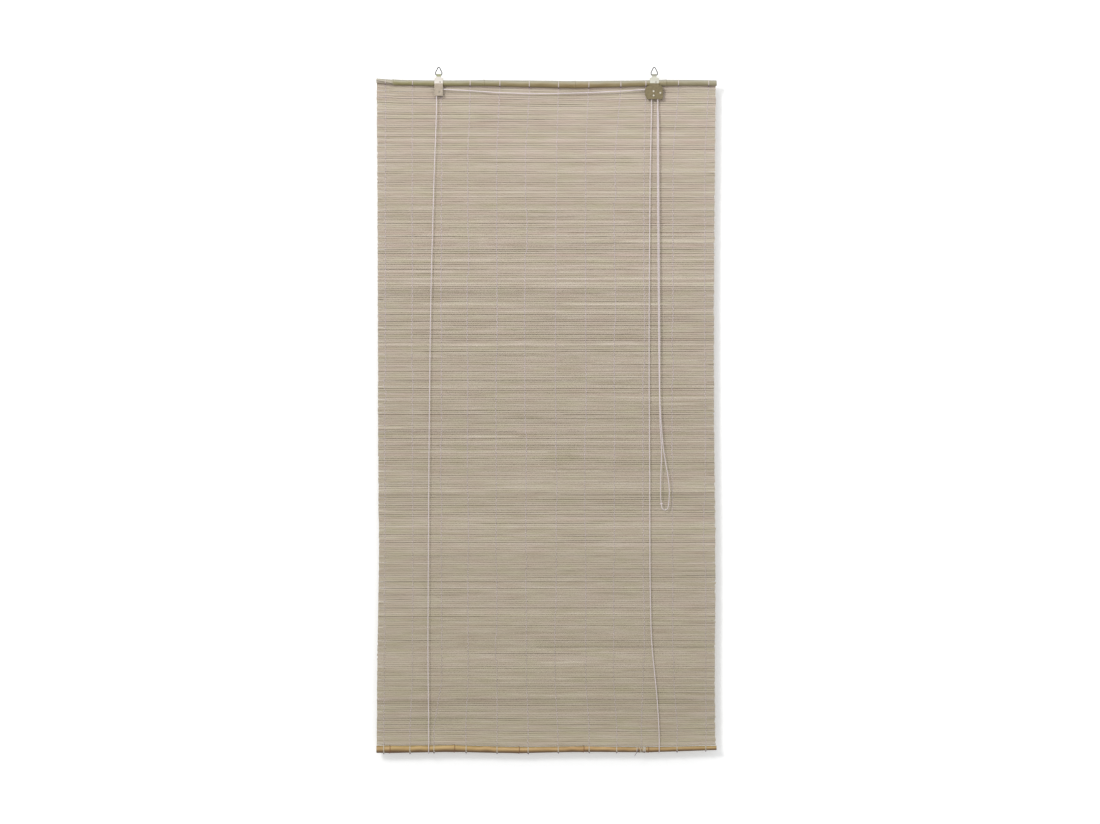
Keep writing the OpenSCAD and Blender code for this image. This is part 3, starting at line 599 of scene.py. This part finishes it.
REED = reed_material()
# The head cane's upper side is tinted a lighter grey: partly its own weathered skin, partly painted light
# from above
HEAD_CANE = cane_material(
    "head_cane",
    ((0.0, srgb(190, 182, 172)), (0.044, srgb(180, 172, 156)), (0.052, srgb(145, 140, 101)),
     (0.3, srgb(144, 137, 103)), (0.4, srgb(147, 134, 100)), (0.6, srgb(149, 131, 97)),
     (0.78, srgb(149, 137, 104)), (0.88, srgb(152, 144, 117)), (1.0, srgb(154, 147, 122))),
    ((0.3, srgb(170, 165, 142)), (0.7, srgb(175, 170, 150)), (0.9, srgb(153, 150, 134))),
    ((0.36, 0.0), (0.5, 0.2), (0.7, 0.65), (0.88, 1.0)), srgb(134, 124, 94), srgb(134, 120, 86))
# The bottom cane is painted dark brown underneath and darker along its top: painted shade under it and under
# the mat's lower edge
BOTTOM_CANE = cane_material(
    "bottom_cane",
    ((0.0, srgb(190, 164, 120)), (0.036, srgb(190, 162, 114)), (0.044, srgb(194, 168, 116)),
     (0.23, srgb(199, 172, 121)), (0.4, srgb(193, 161, 112)), (0.47, srgb(197, 168, 120)),
     (0.6, srgb(193, 158, 111)), (0.66, srgb(197, 166, 119)), (0.8, srgb(184, 155, 110)),
     (1.0, srgb(184, 160, 114))),
    ((0.25, srgb(104, 80, 56)), (0.5, srgb(130, 104, 70)), (0.85, srgb(142, 122, 78))),
    ((0.2, 1.0), (0.42, 0.62), (0.64, 0.0), (0.8, 0.0), (0.95, 0.8)), srgb(116, 78, 54), srgb(164, 126, 82))
# The cut ends are darker on their lower half
CANE_END = cane_material(
    "cane_end", ((0.0, srgb(206, 194, 166)), (1.0, srgb(214, 202, 174))),
    ((0.0, srgb(186, 172, 140)), (1.0, srgb(206, 196, 170))), ((0.0, 0.5), (0.6, 0.0)), srgb(190, 170, 130),
    srgb(186, 162, 120))
HEAD_THREAD = thread_material("head_thread", srgb(222, 211, 206), srgb(200, 188, 185), 2600)
RAIL_THREAD = thread_material("rail_thread", srgb(210, 202, 185), srgb(188, 179, 163), 2600)
WARP = thread_material("warp", srgb(222, 209, 214), srgb(200, 186, 193), 2600, srgb(186, 175, 165))
# Painted shade: the tie knots and the big knot's lump and tail under the canes are darker
KNOT_SHADE_THREAD = thread_material("knot_thread_painted_shade", srgb(126, 106, 118), srgb(92, 74, 88), 2600)
CORD = thread_material("cord", srgb(234, 223, 226), srgb(211, 200, 203), 1800, srgb(206, 195, 195))
WIRE = metal_material("wire", srgb(34, 33, 32), srgb(26, 25, 25), 0.6, 0.2)
# Above z -0.038 the plated sheet is painted lighter, a painted highlight where the strap bends up round the
# cane; above z -0.0215 the eye is olive green
PLATED = metal_material("plated_sheet", srgb(171, 159, 143), srgb(159, 146, 129), 0.55, 0.2,
                        ((-0.038, srgb(211, 205, 197)), (-0.0215, srgb(151, 153, 119))))
BRASS = metal_material("brass_sheet", srgb(124, 112, 82), srgb(109, 98, 70), 0.52, 0.3,
                       ((-0.0375, srgb(199, 198, 184)), (-0.0205, srgb(154, 153, 138))))
NAIL = metal_material("nail", srgb(168, 160, 146), srgb(142, 134, 120), 0.5, 0.3)
RIVET = metal_material("rivet", srgb(222, 218, 206), srgb(204, 198, 186), 0.35, 0.5)
WHEEL = nylon_material()


# Cords

def cord_tube(name, route, body, replaced, step=0.0012):
    """A laid cord of three strands along a route, as one twisted tube. Returns the piece and its path."""
    sides, strands = 9, 3
    core, strand = 0.94, 0.09
    path = smooth_path(np.array(route) * MM, step)
    along = np.concatenate([[0], np.cumsum(np.linalg.norm(np.diff(path, axis=0), axis=1))])
    angle = np.arange(sides) * 2 * math.pi / sides
    turn = 2 * math.pi * along[:, None] / CORD_LAY
    radii = CORD_D / 2 * (core + strand * np.cos(strands * angle[None, :] + turn))
    verts, faces = tube_mesh(path, radii, sides)
    piece = make_piece(name, verts, faces, CORD, body)
    set_attribute(piece, "soil", np.interp(verts[:, 2], *np.transpose(CORD_SOIL)))
    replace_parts(piece, replaced)
    return piece, path


def shorten(piece):
    """Gives the piece a mesh of its own."""
    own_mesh(piece)


def shorten_mat(piece):
    """Gives the mat's piece a mesh of its own."""
    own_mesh(piece)


def cradle_route(front, back):
    """The half circle under the bottom rail from a front run's end to a back run's end."""
    a, b = np.array(front[-1]), np.array(back[-1])
    centre, r = (a + b) / 2, np.linalg.norm(a - b) / 2
    turn = np.linspace(0, math.pi, 13)
    return [(centre[0], centre[1] - r * math.cos(t), centre[2] - r * math.sin(t)) for t in turn]


def make_cords():
    for name, route in (("left_cord_front", LEFT_FRONT), ("right_cord_front", RIGHT_FRONT),
                        ("left_cord_back", LEFT_BACK), ("right_cord_back", RIGHT_BACK)):
        piece, path = cord_tube(name + "_laid", route, "blind", name)
        shorten(piece)
    cross, path = cord_tube("cross_cord_laid", CROSS, "blind", "cross_cord")
    cord_tube("right_cord_top_laid", RIGHT_TOP, "blind", "right_cord_top")
    for name, front, back in (("left_cord_cradle", LEFT_FRONT, LEFT_BACK),
                              ("right_cord_cradle", RIGHT_FRONT, RIGHT_BACK)):
        cord_tube(name + "_laid", cradle_route(front, back), "cord_cradle", name, 0.0008)
    for name in ("left_cord_knot", "right_cord_knot"):
        low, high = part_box(name)
        centre = (low + high) / 2
        centre.y = high.y - END_KNOT_IN
        line = knot_path(centre, END_KNOT, 0.6)
        end = np.linspace((centre.x, low.y, centre.z), centre, 6)
        verts, faces = join_tubes([(line, END_KNOT_R, 8), (end, CORD_END_R, 8)])
        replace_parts(make_piece(name + "_tied", verts, faces, CORD, "blind"), name)
    low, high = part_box("pull_cord_knot")
    verts, faces = tube_mesh(knot_path((low + high) / 2, LOOP_KNOT, 0.2), LOOP_KNOT_R, 8)
    knot = make_piece("pull_cord_knot_tied", verts, faces, CORD, "blind")
    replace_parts(knot, "pull_cord_knot")
    pull, path = cord_tube("pull_cord_laid", PULL, "blind", "pull_cord")


# Mat

def mat_height(x, border):
    """The height of the mat at x, at a border between two reeds: 0 is at the bottom rail."""
    behind_cane = np.sqrt(head_radius(x) ** 2 - (HEAD_Y + REED_T / 2) ** 2)
    top = cane_axis(HEAD_LINE, x) - behind_cane - MAT_GAP
    bottom = cane_axis(RAIL_LINE, x) + rail_radius(x) + RAIL_GAP
    share = border / REED_COUNT
    straight_top = MAT_LEVEL + REED_COUNT * REED_STEP
    fade_top = np.clip(1 - (1 - share) / EDGE_FADE, 0, 1) ** 2
    fade_bottom = np.clip(1 - share / EDGE_FADE, 0, 1) ** 2
    return (MAT_LEVEL + border * REED_STEP + (top - straight_top) * fade_top
            + (bottom - MAT_LEVEL) * fade_bottom)


def mat_edges(share):
    """The x of the mat's left and right edge: the blind is a little narrower at its waist."""
    return [MM * np.interp(share, *np.transpose(edge)) for edge in (LEFT_EDGE, RIGHT_EDGE)]


def per_stretch(values):
    """One value for each stretch between two warps, at the three stations of the stretch."""
    return np.repeat(values, 3)


def reed_stations(i, left, right, warps):
    """The places along a reed: close beside each warp that it passes, and one between."""
    starts = np.concatenate([[left], warps[:, i] + WARP_ROOM])
    ends = np.concatenate([warps[:, i] - WARP_ROOM, [right]])
    part = np.random.default_rng(STATION_SEED + i).uniform(0.25, 0.75, len(starts))
    return np.stack([starts, starts + (ends - starts) * part, ends], -1).ravel()


def broken_shaded_edge(local, stretches, share):
    """How far a reed's edge is broken at each station, in runs past several warps that taper at both ends.
    There it is bevelled deeper, and painted with shade or lighter by its kind.

    share is the share of the edge that is broken.
    """
    shown = np.where(local.random(stretches) < share, local.uniform(*BROKEN_DEPTH, stretches), 0.0)
    for k in 1 + np.flatnonzero(local.random(stretches - 1) < RUN_ON):
        shown[k] = shown[k - 1]
    goes_on = (shown[1:] > 0) & (shown[:-1] > 0)
    between = np.where(goes_on, (shown[1:] + shown[:-1]) / 2, 0.0)
    return np.stack([np.append(shown[0], between), shown, np.append(between, shown[-1])], -1).ravel()


def reed_border(x, border):
    """The line between two reeds: height, half the gap, the edges' bevel, their painted shade and how light
    they are.

    The edges are broken for stretches of their length: bevelled deeper, and painted dark as shade in the
    groove or painted lighter by their kind, which shows as thin dark or light lines.
    """
    local = np.random.default_rng(BORDER_SEED + border)
    line = mat_height(x, border)
    # The first and last reed's outer edge: bevelled, and painted with shade where a cane meets it
    if border in (0, REED_COUNT):
        none = np.zeros_like(x)
        return line, none, none + OUTER_BEVEL, none + OUTER_SHADE, none
    line = line + local.normal(0, LINE_OFFSET) + wander(x, *LINE_SWAY, LINE_SWAY_SEED + border)
    gap = local.uniform(*NARROW_GAP) + (local.uniform(*WIDE_GAP_MORE) if border % SLIT_EVERY == 1 else 0)
    kinds, chances = zip(*EDGE_KINDS)
    kind = local.choice(kinds, p=chances)
    # How much the edges are broken and show painted shade, by the height
    worn = np.interp(border / REED_COUNT, *np.transpose(BROKEN_EDGES))
    share, visible, bevel, plain = (least + more * worn for least, more in (BROKEN_SHARE, BROKEN_SHOWN,
                                                                            PLAIN_BEVEL, PLAIN_SHADE))
    shown = broken_shaded_edge(local, len(x) // 3, share) * visible
    bevel = bevel + local.uniform(*BROKEN_BEVEL) * shown
    light = shown * local.uniform(*LIGHT_SHARE) if kind == "light" else np.zeros_like(x)
    plain = plain * local.uniform(*PLAIN_SPREAD)
    # Painted shade in the groove, deepest where the edge is broken
    dark = plain + (DARKEST_SHADE - plain) * shown if kind == "dark" else np.full_like(x, plain)
    return line, np.full_like(x, gap / 2 * MM), bevel * MM, dark * (1 - light), light


def make_reeds():
    """The reeds as one piece: flat rods between the lines, with edges that are broken here and there and
    painted with shade in the grooves.
    """
    sides = REED_SIDES
    shares = (np.arange(REED_COUNT) + 0.5) / REED_COUNT
    warps = np.array([warp_line(column, shares) for column in range(len(WARP_RUN_X))])
    bands = (1 - shares) * wander(shares, *TONE_BANDS, BAND_SEED)
    verts, faces, attributes = [], [], {"tone": [], "hue": [], "edge_painted_shade": [], "edge_light": []}
    for i, share in enumerate(shares):
        left, right = mat_edges(share)
        x = reed_stations(i, left + rng.normal(0, LEFT_RAGGED), right + rng.normal(0, RIGHT_RAGGED), warps)
        stations, stretches = len(x), len(x) // 3
        low, low_gap, low_bevel, low_shade, low_light = reed_border(x, i)
        high, high_gap, high_bevel, high_shade, high_light = reed_border(x, i + 1)
        z = (low + low_gap + high - high_gap) / 2
        w = (high - high_gap - low - low_gap) / 2
        half_t = REED_T / 2 * (1 + rng.normal(0, REED_T_SPREAD))
        y = wander(x, *REED_BOW, REED_BOW_SEED + i)
        roll = rng.normal(0, REED_TURN) + per_stretch(rng.normal(0, STRETCH_TURN, stretches))
        # Flat face, upper bevel and edge, back, lower edge and bevel
        py = half_t * np.array([-1, -1, -0.8, -0.1, 1, 1, -0.1, -0.8])[None, :]
        pz = np.stack([low_bevel - w, w - high_bevel, w - 0.6 * high_bevel, w, 0.9 * w, -0.9 * w, -w,
                       0.6 * low_bevel - w], -1)
        ring = np.stack([np.repeat(x[:, None], sides, 1),
                         y[:, None] + py * np.cos(roll)[:, None] - pz * np.sin(roll)[:, None],
                         z[:, None] + py * np.sin(roll)[:, None] + pz * np.cos(roll)[:, None]], -1)
        faces += tube_faces(stations, sides, i * stations * sides)
        verts.append(ring.reshape(-1, 3))
        # Painted light: paler towards the top and towards the right edge
        painted_light = (TONE_TOP_LIGHT + TONE_RIGHT_LIGHT * x / HALF) * share
        tone = (TONE + painted_light + bands[i] + rng.normal(0, TONE_REEDS)
                + per_stretch(rng.normal(0, TONE_STRETCHES, stretches)))
        hue = (HUE + HUE_RISE * share + rng.normal(0, HUE_REEDS)
               + per_stretch(rng.normal(0, HUE_STRETCHES, stretches)))
        none = np.zeros_like(x)
        attributes["tone"].append(np.repeat(np.clip(tone, 0, 1), sides))
        attributes["hue"].append(np.repeat(np.clip(hue, 0, 1), sides))
        for name, at_low, at_high in (("edge_painted_shade", low_shade, high_shade),
                                      ("edge_light", low_light, high_light)):
            around = np.stack([none, none, at_high, at_high, none, none, at_low, at_low], -1)
            attributes[name].append(around.ravel())
    reeds = make_piece("reeds", np.concatenate(verts), faces, REED, "blind", smooth=False)
    for name, values in attributes.items():
        set_attribute(reeds, name, np.concatenate(values))
    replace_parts(reeds, "reed_mat")
    shorten_mat(reeds)


def warp_line(column, share):
    """The x of a warp thread: from its head tie to its bottom tie, with a step aside here and there."""
    local = np.random.default_rng(WARP_SEED + column)
    breaks = np.sort(local.uniform(*WARP_STEP_ZONE, WARP_STEPS))
    offsets = local.normal(0, WARP_STEP, WARP_STEPS + 1)
    place = np.concatenate([[0], np.repeat(breaks, 2) + np.tile([0, WARP_STEP_LENGTH], WARP_STEPS), [1]])
    stepped = np.interp(share, place, np.repeat(offsets, 2))
    within = np.clip(np.minimum(share, 1 - share) / 0.1, 0, 1)
    run = np.interp(share, [0, 0.03, 0.1, 0.9, 0.995, 1], [RAIL_TIE_X[column]] * 2
                    + [WARP_RUN_X[column]] * 2 + [HEAD_TIE_X[column]] * 2)
    return run + within * (stepped + wander(share, *WARP_SWAY, WARP_SWAY_SEED + column))


def make_warps():
    """Each warp is two threads that pass each other between one reed and the next."""
    tubes = []
    reach = REED_T / 2 + THREAD_D * THREAD_SEAT
    reed, part = np.divmod(np.arange(3 * REED_COUNT + 1), 3)
    place = reed + np.array(REED_PASSED)[part]
    for column in range(len(WARP_RUN_X)):
        x = warp_line(column, place / REED_COUNT)
        z = mat_height(x, place)
        for strand in (0, 1):
            side = np.where(part == 0, 0.0, np.where((reed + strand) % 2 == 0, -1.0, 1.0))
            offset = THREAD_D * THREADS_APART * (1 if strand else -1)
            path = np.stack([x + offset, side * reach, z], -1)
            tubes.append((path, THREAD_D / 2, 4))
    verts, faces = join_tubes(tubes)
    warps = make_piece("warps", verts, faces, WARP, "blind")
    depth = verts[:, 2] / MAT_LEVEL
    cleaner = wander(depth, *SOIL_SPREAD, SOIL_SEED)
    set_attribute(warps, "soil", np.clip(np.interp(depth, *np.transpose(WARP_SOIL)) + cleaner, 0, 1))
    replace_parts(warps, "warp_threads")
    shorten_mat(warps)


# Canes and ties

def make_cane(name, line, radius, nodes, y, skin, body, ring_depth, seed, stub_length=0.0):
    """A bamboo cane: a bowed, tapering skin with ridged nodes, hollow ends, and a crack along its stub."""
    sides = 40
    x = np.unique(np.round(np.concatenate(
        [np.linspace(-HALF, HALF, 161)] + [n + np.linspace(-0.008, 0.01, 37) for n in nodes]), 6))
    x = x[(x >= -HALF) & (x <= HALF)]
    r = radius(x) + node_swell(x, nodes) + wander(x, *CANE_ROUGH, seed)
    path = np.stack([x, y + wander(x, *CANE_ASIDE, seed + 1),
                     cane_axis(line, x) + wander(x, *CANE_RISE, seed + 2)], -1)
    angle = np.arange(sides) * 2 * math.pi / sides
    ring = np.zeros_like(x)
    for n in nodes:
        ring = np.maximum(ring, bell(x - n, ring_depth, RING_PAST_NODE, RING_W))
    round_off = 1 + 0.012 * np.cos(2 * angle + seed) + 0.008 * np.cos(3 * angle)

    def loop(centre, size):
        return np.stack([np.full(sides, centre[0]), centre[1] + size * round_off * np.cos(angle),
                         centre[2] + size * round_off * np.sin(angle)], -1)

    inward = np.array([HOLLOW_DEPTH, 0, 0])
    chamfer = np.array([CANE_CHAMFER, 0, 0])
    loops = [loop(path[0] + inward, HOLLOW_D / 2), loop(path[0], HOLLOW_D / 2),
             loop(path[0], r[0] - CANE_CHAMFER)]
    loops += [loop(path[0] + chamfer, r[0])] + [loop(p, s) for p, s in zip(path[1:-1], r[1:-1])]
    loops += [loop(path[-1] - chamfer, r[-1]), loop(path[-1], r[-1] - CANE_CHAMFER),
              loop(path[-1], HOLLOW_D / 2), loop(path[-1] - inward, HOLLOW_D / 2)]
    count = len(loops)
    i, k = np.meshgrid(np.arange(count - 1), np.arange(sides), indexing="ij")
    a, b = i * sides + k, i * sides + (k + 1) % sides
    faces = np.stack([a, a + sides, b + sides, b], -1).reshape(-1, 4).tolist()
    faces += [list(range(sides)), list(range(count * sides - 1, (count - 1) * sides - 1, -1))]
    cane = make_piece(name + "_cane", np.concatenate(loops), faces, skin, body)
    cane.data.materials.append(CANE_END)
    end_rows = {0, 1, count - 2, count - 3}
    for index, polygon in enumerate(cane.data.polygons):
        if index >= (count - 1) * sides or index // sides in end_rows:
            polygon.material_index = 1
            polygon.use_smooth = False
    points = np.concatenate(loops)
    around = np.tile(0.5 + 0.5 * np.sin(angle), count)
    rings = np.concatenate([np.zeros(3), [0], ring[1:-1], [0], np.zeros(3)])
    set_attribute(cane, "along", (points[:, 0] + HALF) / (2 * HALF))
    set_attribute(cane, "around", around + wander(points[:, 0], *CANE_MOTTLE, seed + 3))
    set_attribute(cane, "node_ring", np.repeat(rings, sides) * (1.1 - 0.5 * around))
    along_stub = (points[:, 0] + HALF) / stub_length if stub_length else np.full(len(points), 2.0)
    crack = np.exp(-((around - CRACK_START + CRACK_FALL * along_stub) / CRACK_W) ** 2)
    crack *= CRACK_DEPTH + wander(along_stub, *CRACK_SPREAD, seed)
    set_attribute(cane, "split", np.where(along_stub < 1, np.clip(crack, 0, 1), 0))
    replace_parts(cane, name)


def tie_path(x, axis_y, axis_z, r, turns, lay=0.00105):
    """A thread wound round a cane: from the mat behind it, round and back."""
    start = math.pi / 2
    count = int(TURN_POINTS * turns) + 1
    t = np.linspace(0, turns * 2 * math.pi, count)
    return np.stack([x + lay * (t / (2 * math.pi) - turns / 2),
                     axis_y + r * np.sin(start + t), axis_z + r * np.cos(start + t)], -1)


def add_knots(piece, first_face):
    """The small knots of a tie piece, from a face on, are of a darker thread: painted shade under the cane.
    """
    piece.data.materials.append(KNOT_SHADE_THREAD)
    index = np.zeros(len(piece.data.polygons), np.int32)
    index[first_face:] = 1
    piece.data.polygons.foreach_set("material_index", index)


def make_ties(name, body, thread, line, radius, nodes, axis_y, columns, turns, more_wound=(),
              more_knots=()):
    """Thread wound round a cane at each warp, with a small knot at its lower edge."""
    wound, knots = list(more_wound), list(more_knots)
    for x in columns:
        at = np.array([x])
        z = float(cane_axis(line, at)[0])
        r = float(radius(at)[0] + node_swell(at, nodes)[0]) + TIE_D * TIE_SEAT
        lean = rng.uniform(-TIE_LEAN, TIE_LEAN)
        wound.append((tie_path(x + lean, axis_y, z, r, turns), TIE_D / 2, 7))
        foot = (x + lean, axis_y - 0.003, z - r - 0.0003)
        knots.append((knot_path(foot, TIE_KNOT, rng.uniform(0, 3), 30), TIE_D * 0.55, 6))
    wound_faces = len(join_tubes(wound)[1])
    verts, faces = join_tubes(wound + knots)
    piece = make_piece(name + "_wound", verts, faces, thread, body)
    add_knots(piece, wound_faces)
    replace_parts(piece, name)


def make_head_ties():
    columns = [x for x in HEAD_TIE_X if x != STRAP_WARP_X]
    make_ties("head_ties", "blind", HEAD_THREAD, HEAD_LINE, head_radius, HEAD_NODES, HEAD_Y, columns, 1.6)


def make_bottom_ties():
    at = np.array([KNOT_X])
    z = float(cane_axis(RAIL_LINE, at)[0])
    r = float(rail_radius(at)[0]) + TIE_D * TIE_SEAT
    columns = [x for x in RAIL_TIE_X if x != KNOT_X]
    wound, knots = big_knot(KNOT_X, z, r)
    make_ties("bottom_ties", "bottom_roll", RAIL_THREAD, RAIL_LINE, rail_radius, RAIL_NODES, 0.0, columns,
              2.4, wound, knots)


def over_front(x0, x1, z, r):
    """A thread over the front of the bottom rail, from its top at x0 to its lower edge at x1."""
    turn = np.linspace(math.radians(110), math.radians(-110), 28)
    return np.stack([np.linspace(x0, x1, 28), -r * np.cos(turn), z + r * np.sin(turn)], -1)


def big_knot(x, z, r):
    """The end of the thread: two bands of turns, strands that cross between them, a lump and loose tails."""
    right = tie_path(x + 0.0065, 0, z, r, 6.3, 0.0012)
    left = tie_path(x - 0.0105, 0, z, r, 2.3, 0.0011)
    falling = over_front(x - 0.0095, x + 0.0055, z, r + TIE_D * 0.7)
    rising = over_front(x + 0.0045, x - 0.0085, z, r + TIE_D * 1.3)
    second = over_front(x + 0.001, x - 0.0045, z, r + TIE_D * 0.4)
    ledge = smooth_path([(x - 0.012, -r * 0.42, z + r * 0.98), (x - 0.002, -r * 0.5, z + r),
                         (x + 0.0085, -r * 0.42, z + r * 0.98)], 0.0006)
    lump = knot_path((x + 0.0065, -r * 0.75, z - r * 0.75), 0.0042, 0.3, 48)
    tail = smooth_path([(x - 0.0072, -r - 0.0012, z + 0.003), (x - 0.0092, -r - 0.0016, z - 0.002),
                        (x - 0.0125, -r - 0.0014, z - 0.0082), (x - 0.0168, -r + 0.0005, z - 0.0148)], 0.0006)
    wound = [(path, TIE_D * 0.5, 7) for path in (right, left, falling, rising, second, ledge)]
    # The lump and the tail take the darker thread of painted shade
    return wound, [(lump, TIE_D * 0.5, 7), (tail, TIE_D * 0.6, 6)]


# Hangers and fittings

def make_hanger(side):
    """A wire ring bent to a rounded triangle, closed in the eye of its strap."""
    name = "left_hanger" if side < 0 else "right_hanger"
    low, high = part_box(name)
    wire = (high.y - low.y) / 2
    x0, top, bar = (low.x + high.x) / 2, high.z - wire, low.z + wire
    wide = (high.x - low.x) / 2 - wire
    half = [(0.0, top), (0.0021, top - 0.0014), (0.0045, top - 0.0062), (wide, top - 0.0121),
            (wide - 0.0004, bar + 0.0014), (wide - 0.0022, bar), (0.0, bar)]
    outline = [(x0 + x, 0.0, z) for x, z in half] + [(x0 - x, 0.0, z) for x, z in reversed(half[:-1])]
    path = smooth_path(outline, 0.0006)
    verts, faces = tube_mesh(path, wire, 12)
    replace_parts(make_piece(name + "_wire", verts, faces, WIRE, "hangers"), name)


def dress_nodes():
    """The CAD's own fittings keep their shape and take a material."""
    finishes = {"left_bracket": PLATED, "pulley_axle": NAIL, "lock_housing": BRASS, "lock_pawl": BRASS,
                "left_pulley": WHEEL, "lock_roller": WHEEL, "roller_axle": RIVET, "lock_post": RIVET,
                "pawl_rivet": RIVET, "bracket_nails": NAIL}
    for name, material in finishes.items():
        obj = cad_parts[name]
        obj.data.materials.clear()
        obj.data.materials.append(material)


# Stage and light

def make_stage():
    """A pale wall close behind the blind and a pale floor, which throw no light or shadow on it."""
    def plane(name, corners, colour):
        mesh = bpy.data.meshes.new(name)
        mesh.from_pydata(corners, [], [(0, 1, 2, 3)])
        obj = bpy.data.objects.new(name, mesh)
        scene.collection.objects.link(obj)
        material = bpy.data.materials.new(name)
        material.use_nodes = True
        tree = material.node_tree
        tree.nodes.remove(tree.nodes["Principled BSDF"])
        surface = add_node(tree, "BsdfDiffuse", {"Color": colour}).outputs["BSDF"]
        set_inputs(tree, tree.nodes["Material Output"], {"Surface": surface})
        mesh.materials.append(material)
        return obj, tree, surface

    wide = STAGE_HALF_W
    wall, tree, surface = plane("wall", [(-wide, WALL_Y, FLOOR_Z), (wide, WALL_Y, FLOOR_Z),
                                         (wide, WALL_Y, WALL_TOP), (-wide, WALL_Y, WALL_TOP)], WALL_COLOUR)
    open_sky = add_node(tree, "AmbientOcclusion", {"Distance": NEAR_WALL}, samples=4)
    fill = add_node(tree, "MapRange", {"Value": open_sky.outputs["AO"], "From Min": OPENNESS[0],
                                       "From Max": OPENNESS[1], "To Max": WALL_FILL})
    glow = add_node(tree, "Emission", {"Color": WALL_FILL_COLOUR, "Strength": fill.outputs["Result"]})
    lit = add_node(tree, "AddShader", {0: surface, 1: glow.outputs["Emission"]})
    behind = add_node(tree, "NewGeometry").outputs["Backfacing"]
    clear = add_node(tree, "BsdfTransparent").outputs["BSDF"]
    one_sided = add_node(tree, "MixShader", {"Fac": behind, 1: lit.outputs["Shader"], 2: clear})
    set_inputs(tree, tree.nodes["Material Output"], {"Surface": one_sided.outputs["Shader"]})
    wall.visible_diffuse = wall.visible_shadow = wall.visible_glossy = False
    floor = plane("floor", [(-wide, -wide, FLOOR_Z), (wide, -wide, FLOOR_Z), (wide, wide, FLOOR_Z),
                            (-wide, wide, FLOOR_Z)], FLOOR_COLOUR)[0]
    floor.visible_shadow = floor.visible_diffuse = False


def make_light():
    world = bpy.data.worlds.new("studio")
    scene.world = world
    world.use_nodes = True
    tree = world.node_tree
    ray = add_node(tree, "LightPath").outputs

    def either(a, b):
        return add_node(tree, "Math", {0: a, 1: b}, operation="MAXIMUM").outputs["Value"]

    seen = either(ray["Is Camera Ray"], either(ray["Is Glossy Ray"], ray["Is Transmission Ray"]))
    # Softer light from below than from above
    direction = add_node(tree, "TexCoord").outputs["Generated"]
    slope = add_node(tree, "SeparateXYZ", {"Vector": direction}).outputs["Z"]
    sky = add_node(tree, "MapRange", {"Value": slope, "From Min": -SKY_TURN, "From Max": SKY_TURN,
                                      "To Min": SKY_BELOW, "To Max": SKY_ABOVE})
    strength = add_node(tree, "Mix", {"Factor": seen, "A": sky.outputs["Result"], "B": 1.0})
    set_inputs(tree, tree.nodes["Background"], {"Color": (1, 1, 1), "Strength": strength.outputs["Result"]})

    def softbox(name, place, target, size, power):
        data = bpy.data.lights.new(name, "AREA")
        data.shape = "DISK"
        data.size = size
        data.energy = power
        lamp = bpy.data.objects.new(name, data)
        lamp.location = place
        lamp.rotation_euler = (Vector(target) - Vector(place)).to_track_quat("-Z", "Y").to_euler()
        scene.collection.objects.link(lamp)

    softbox("key", KEY_PLACE, KEY_TARGET, KEY_SIZE, KEY_POWER)
    softbox("front", FRONT_PLACE, FRONT_TARGET, FRONT_SIZE, FRONT_POWER)


make_camera()
make_cords()
make_reeds()
make_warps()
make_cane("head_rail", HEAD_LINE, head_radius, HEAD_NODES, HEAD_Y, HEAD_CANE, "blind", 0.4,
          HEAD_SEED, HEAD_NODES[0] + HALF)
make_cane("bottom_rail", RAIL_LINE, rail_radius, RAIL_NODES, 0.0, BOTTOM_CANE, "bottom_roll",
          0.9, RAIL_SEED)
make_head_ties()
make_bottom_ties()
make_hanger(-1)
make_hanger(1)
dress_nodes()
make_stage()
make_light()
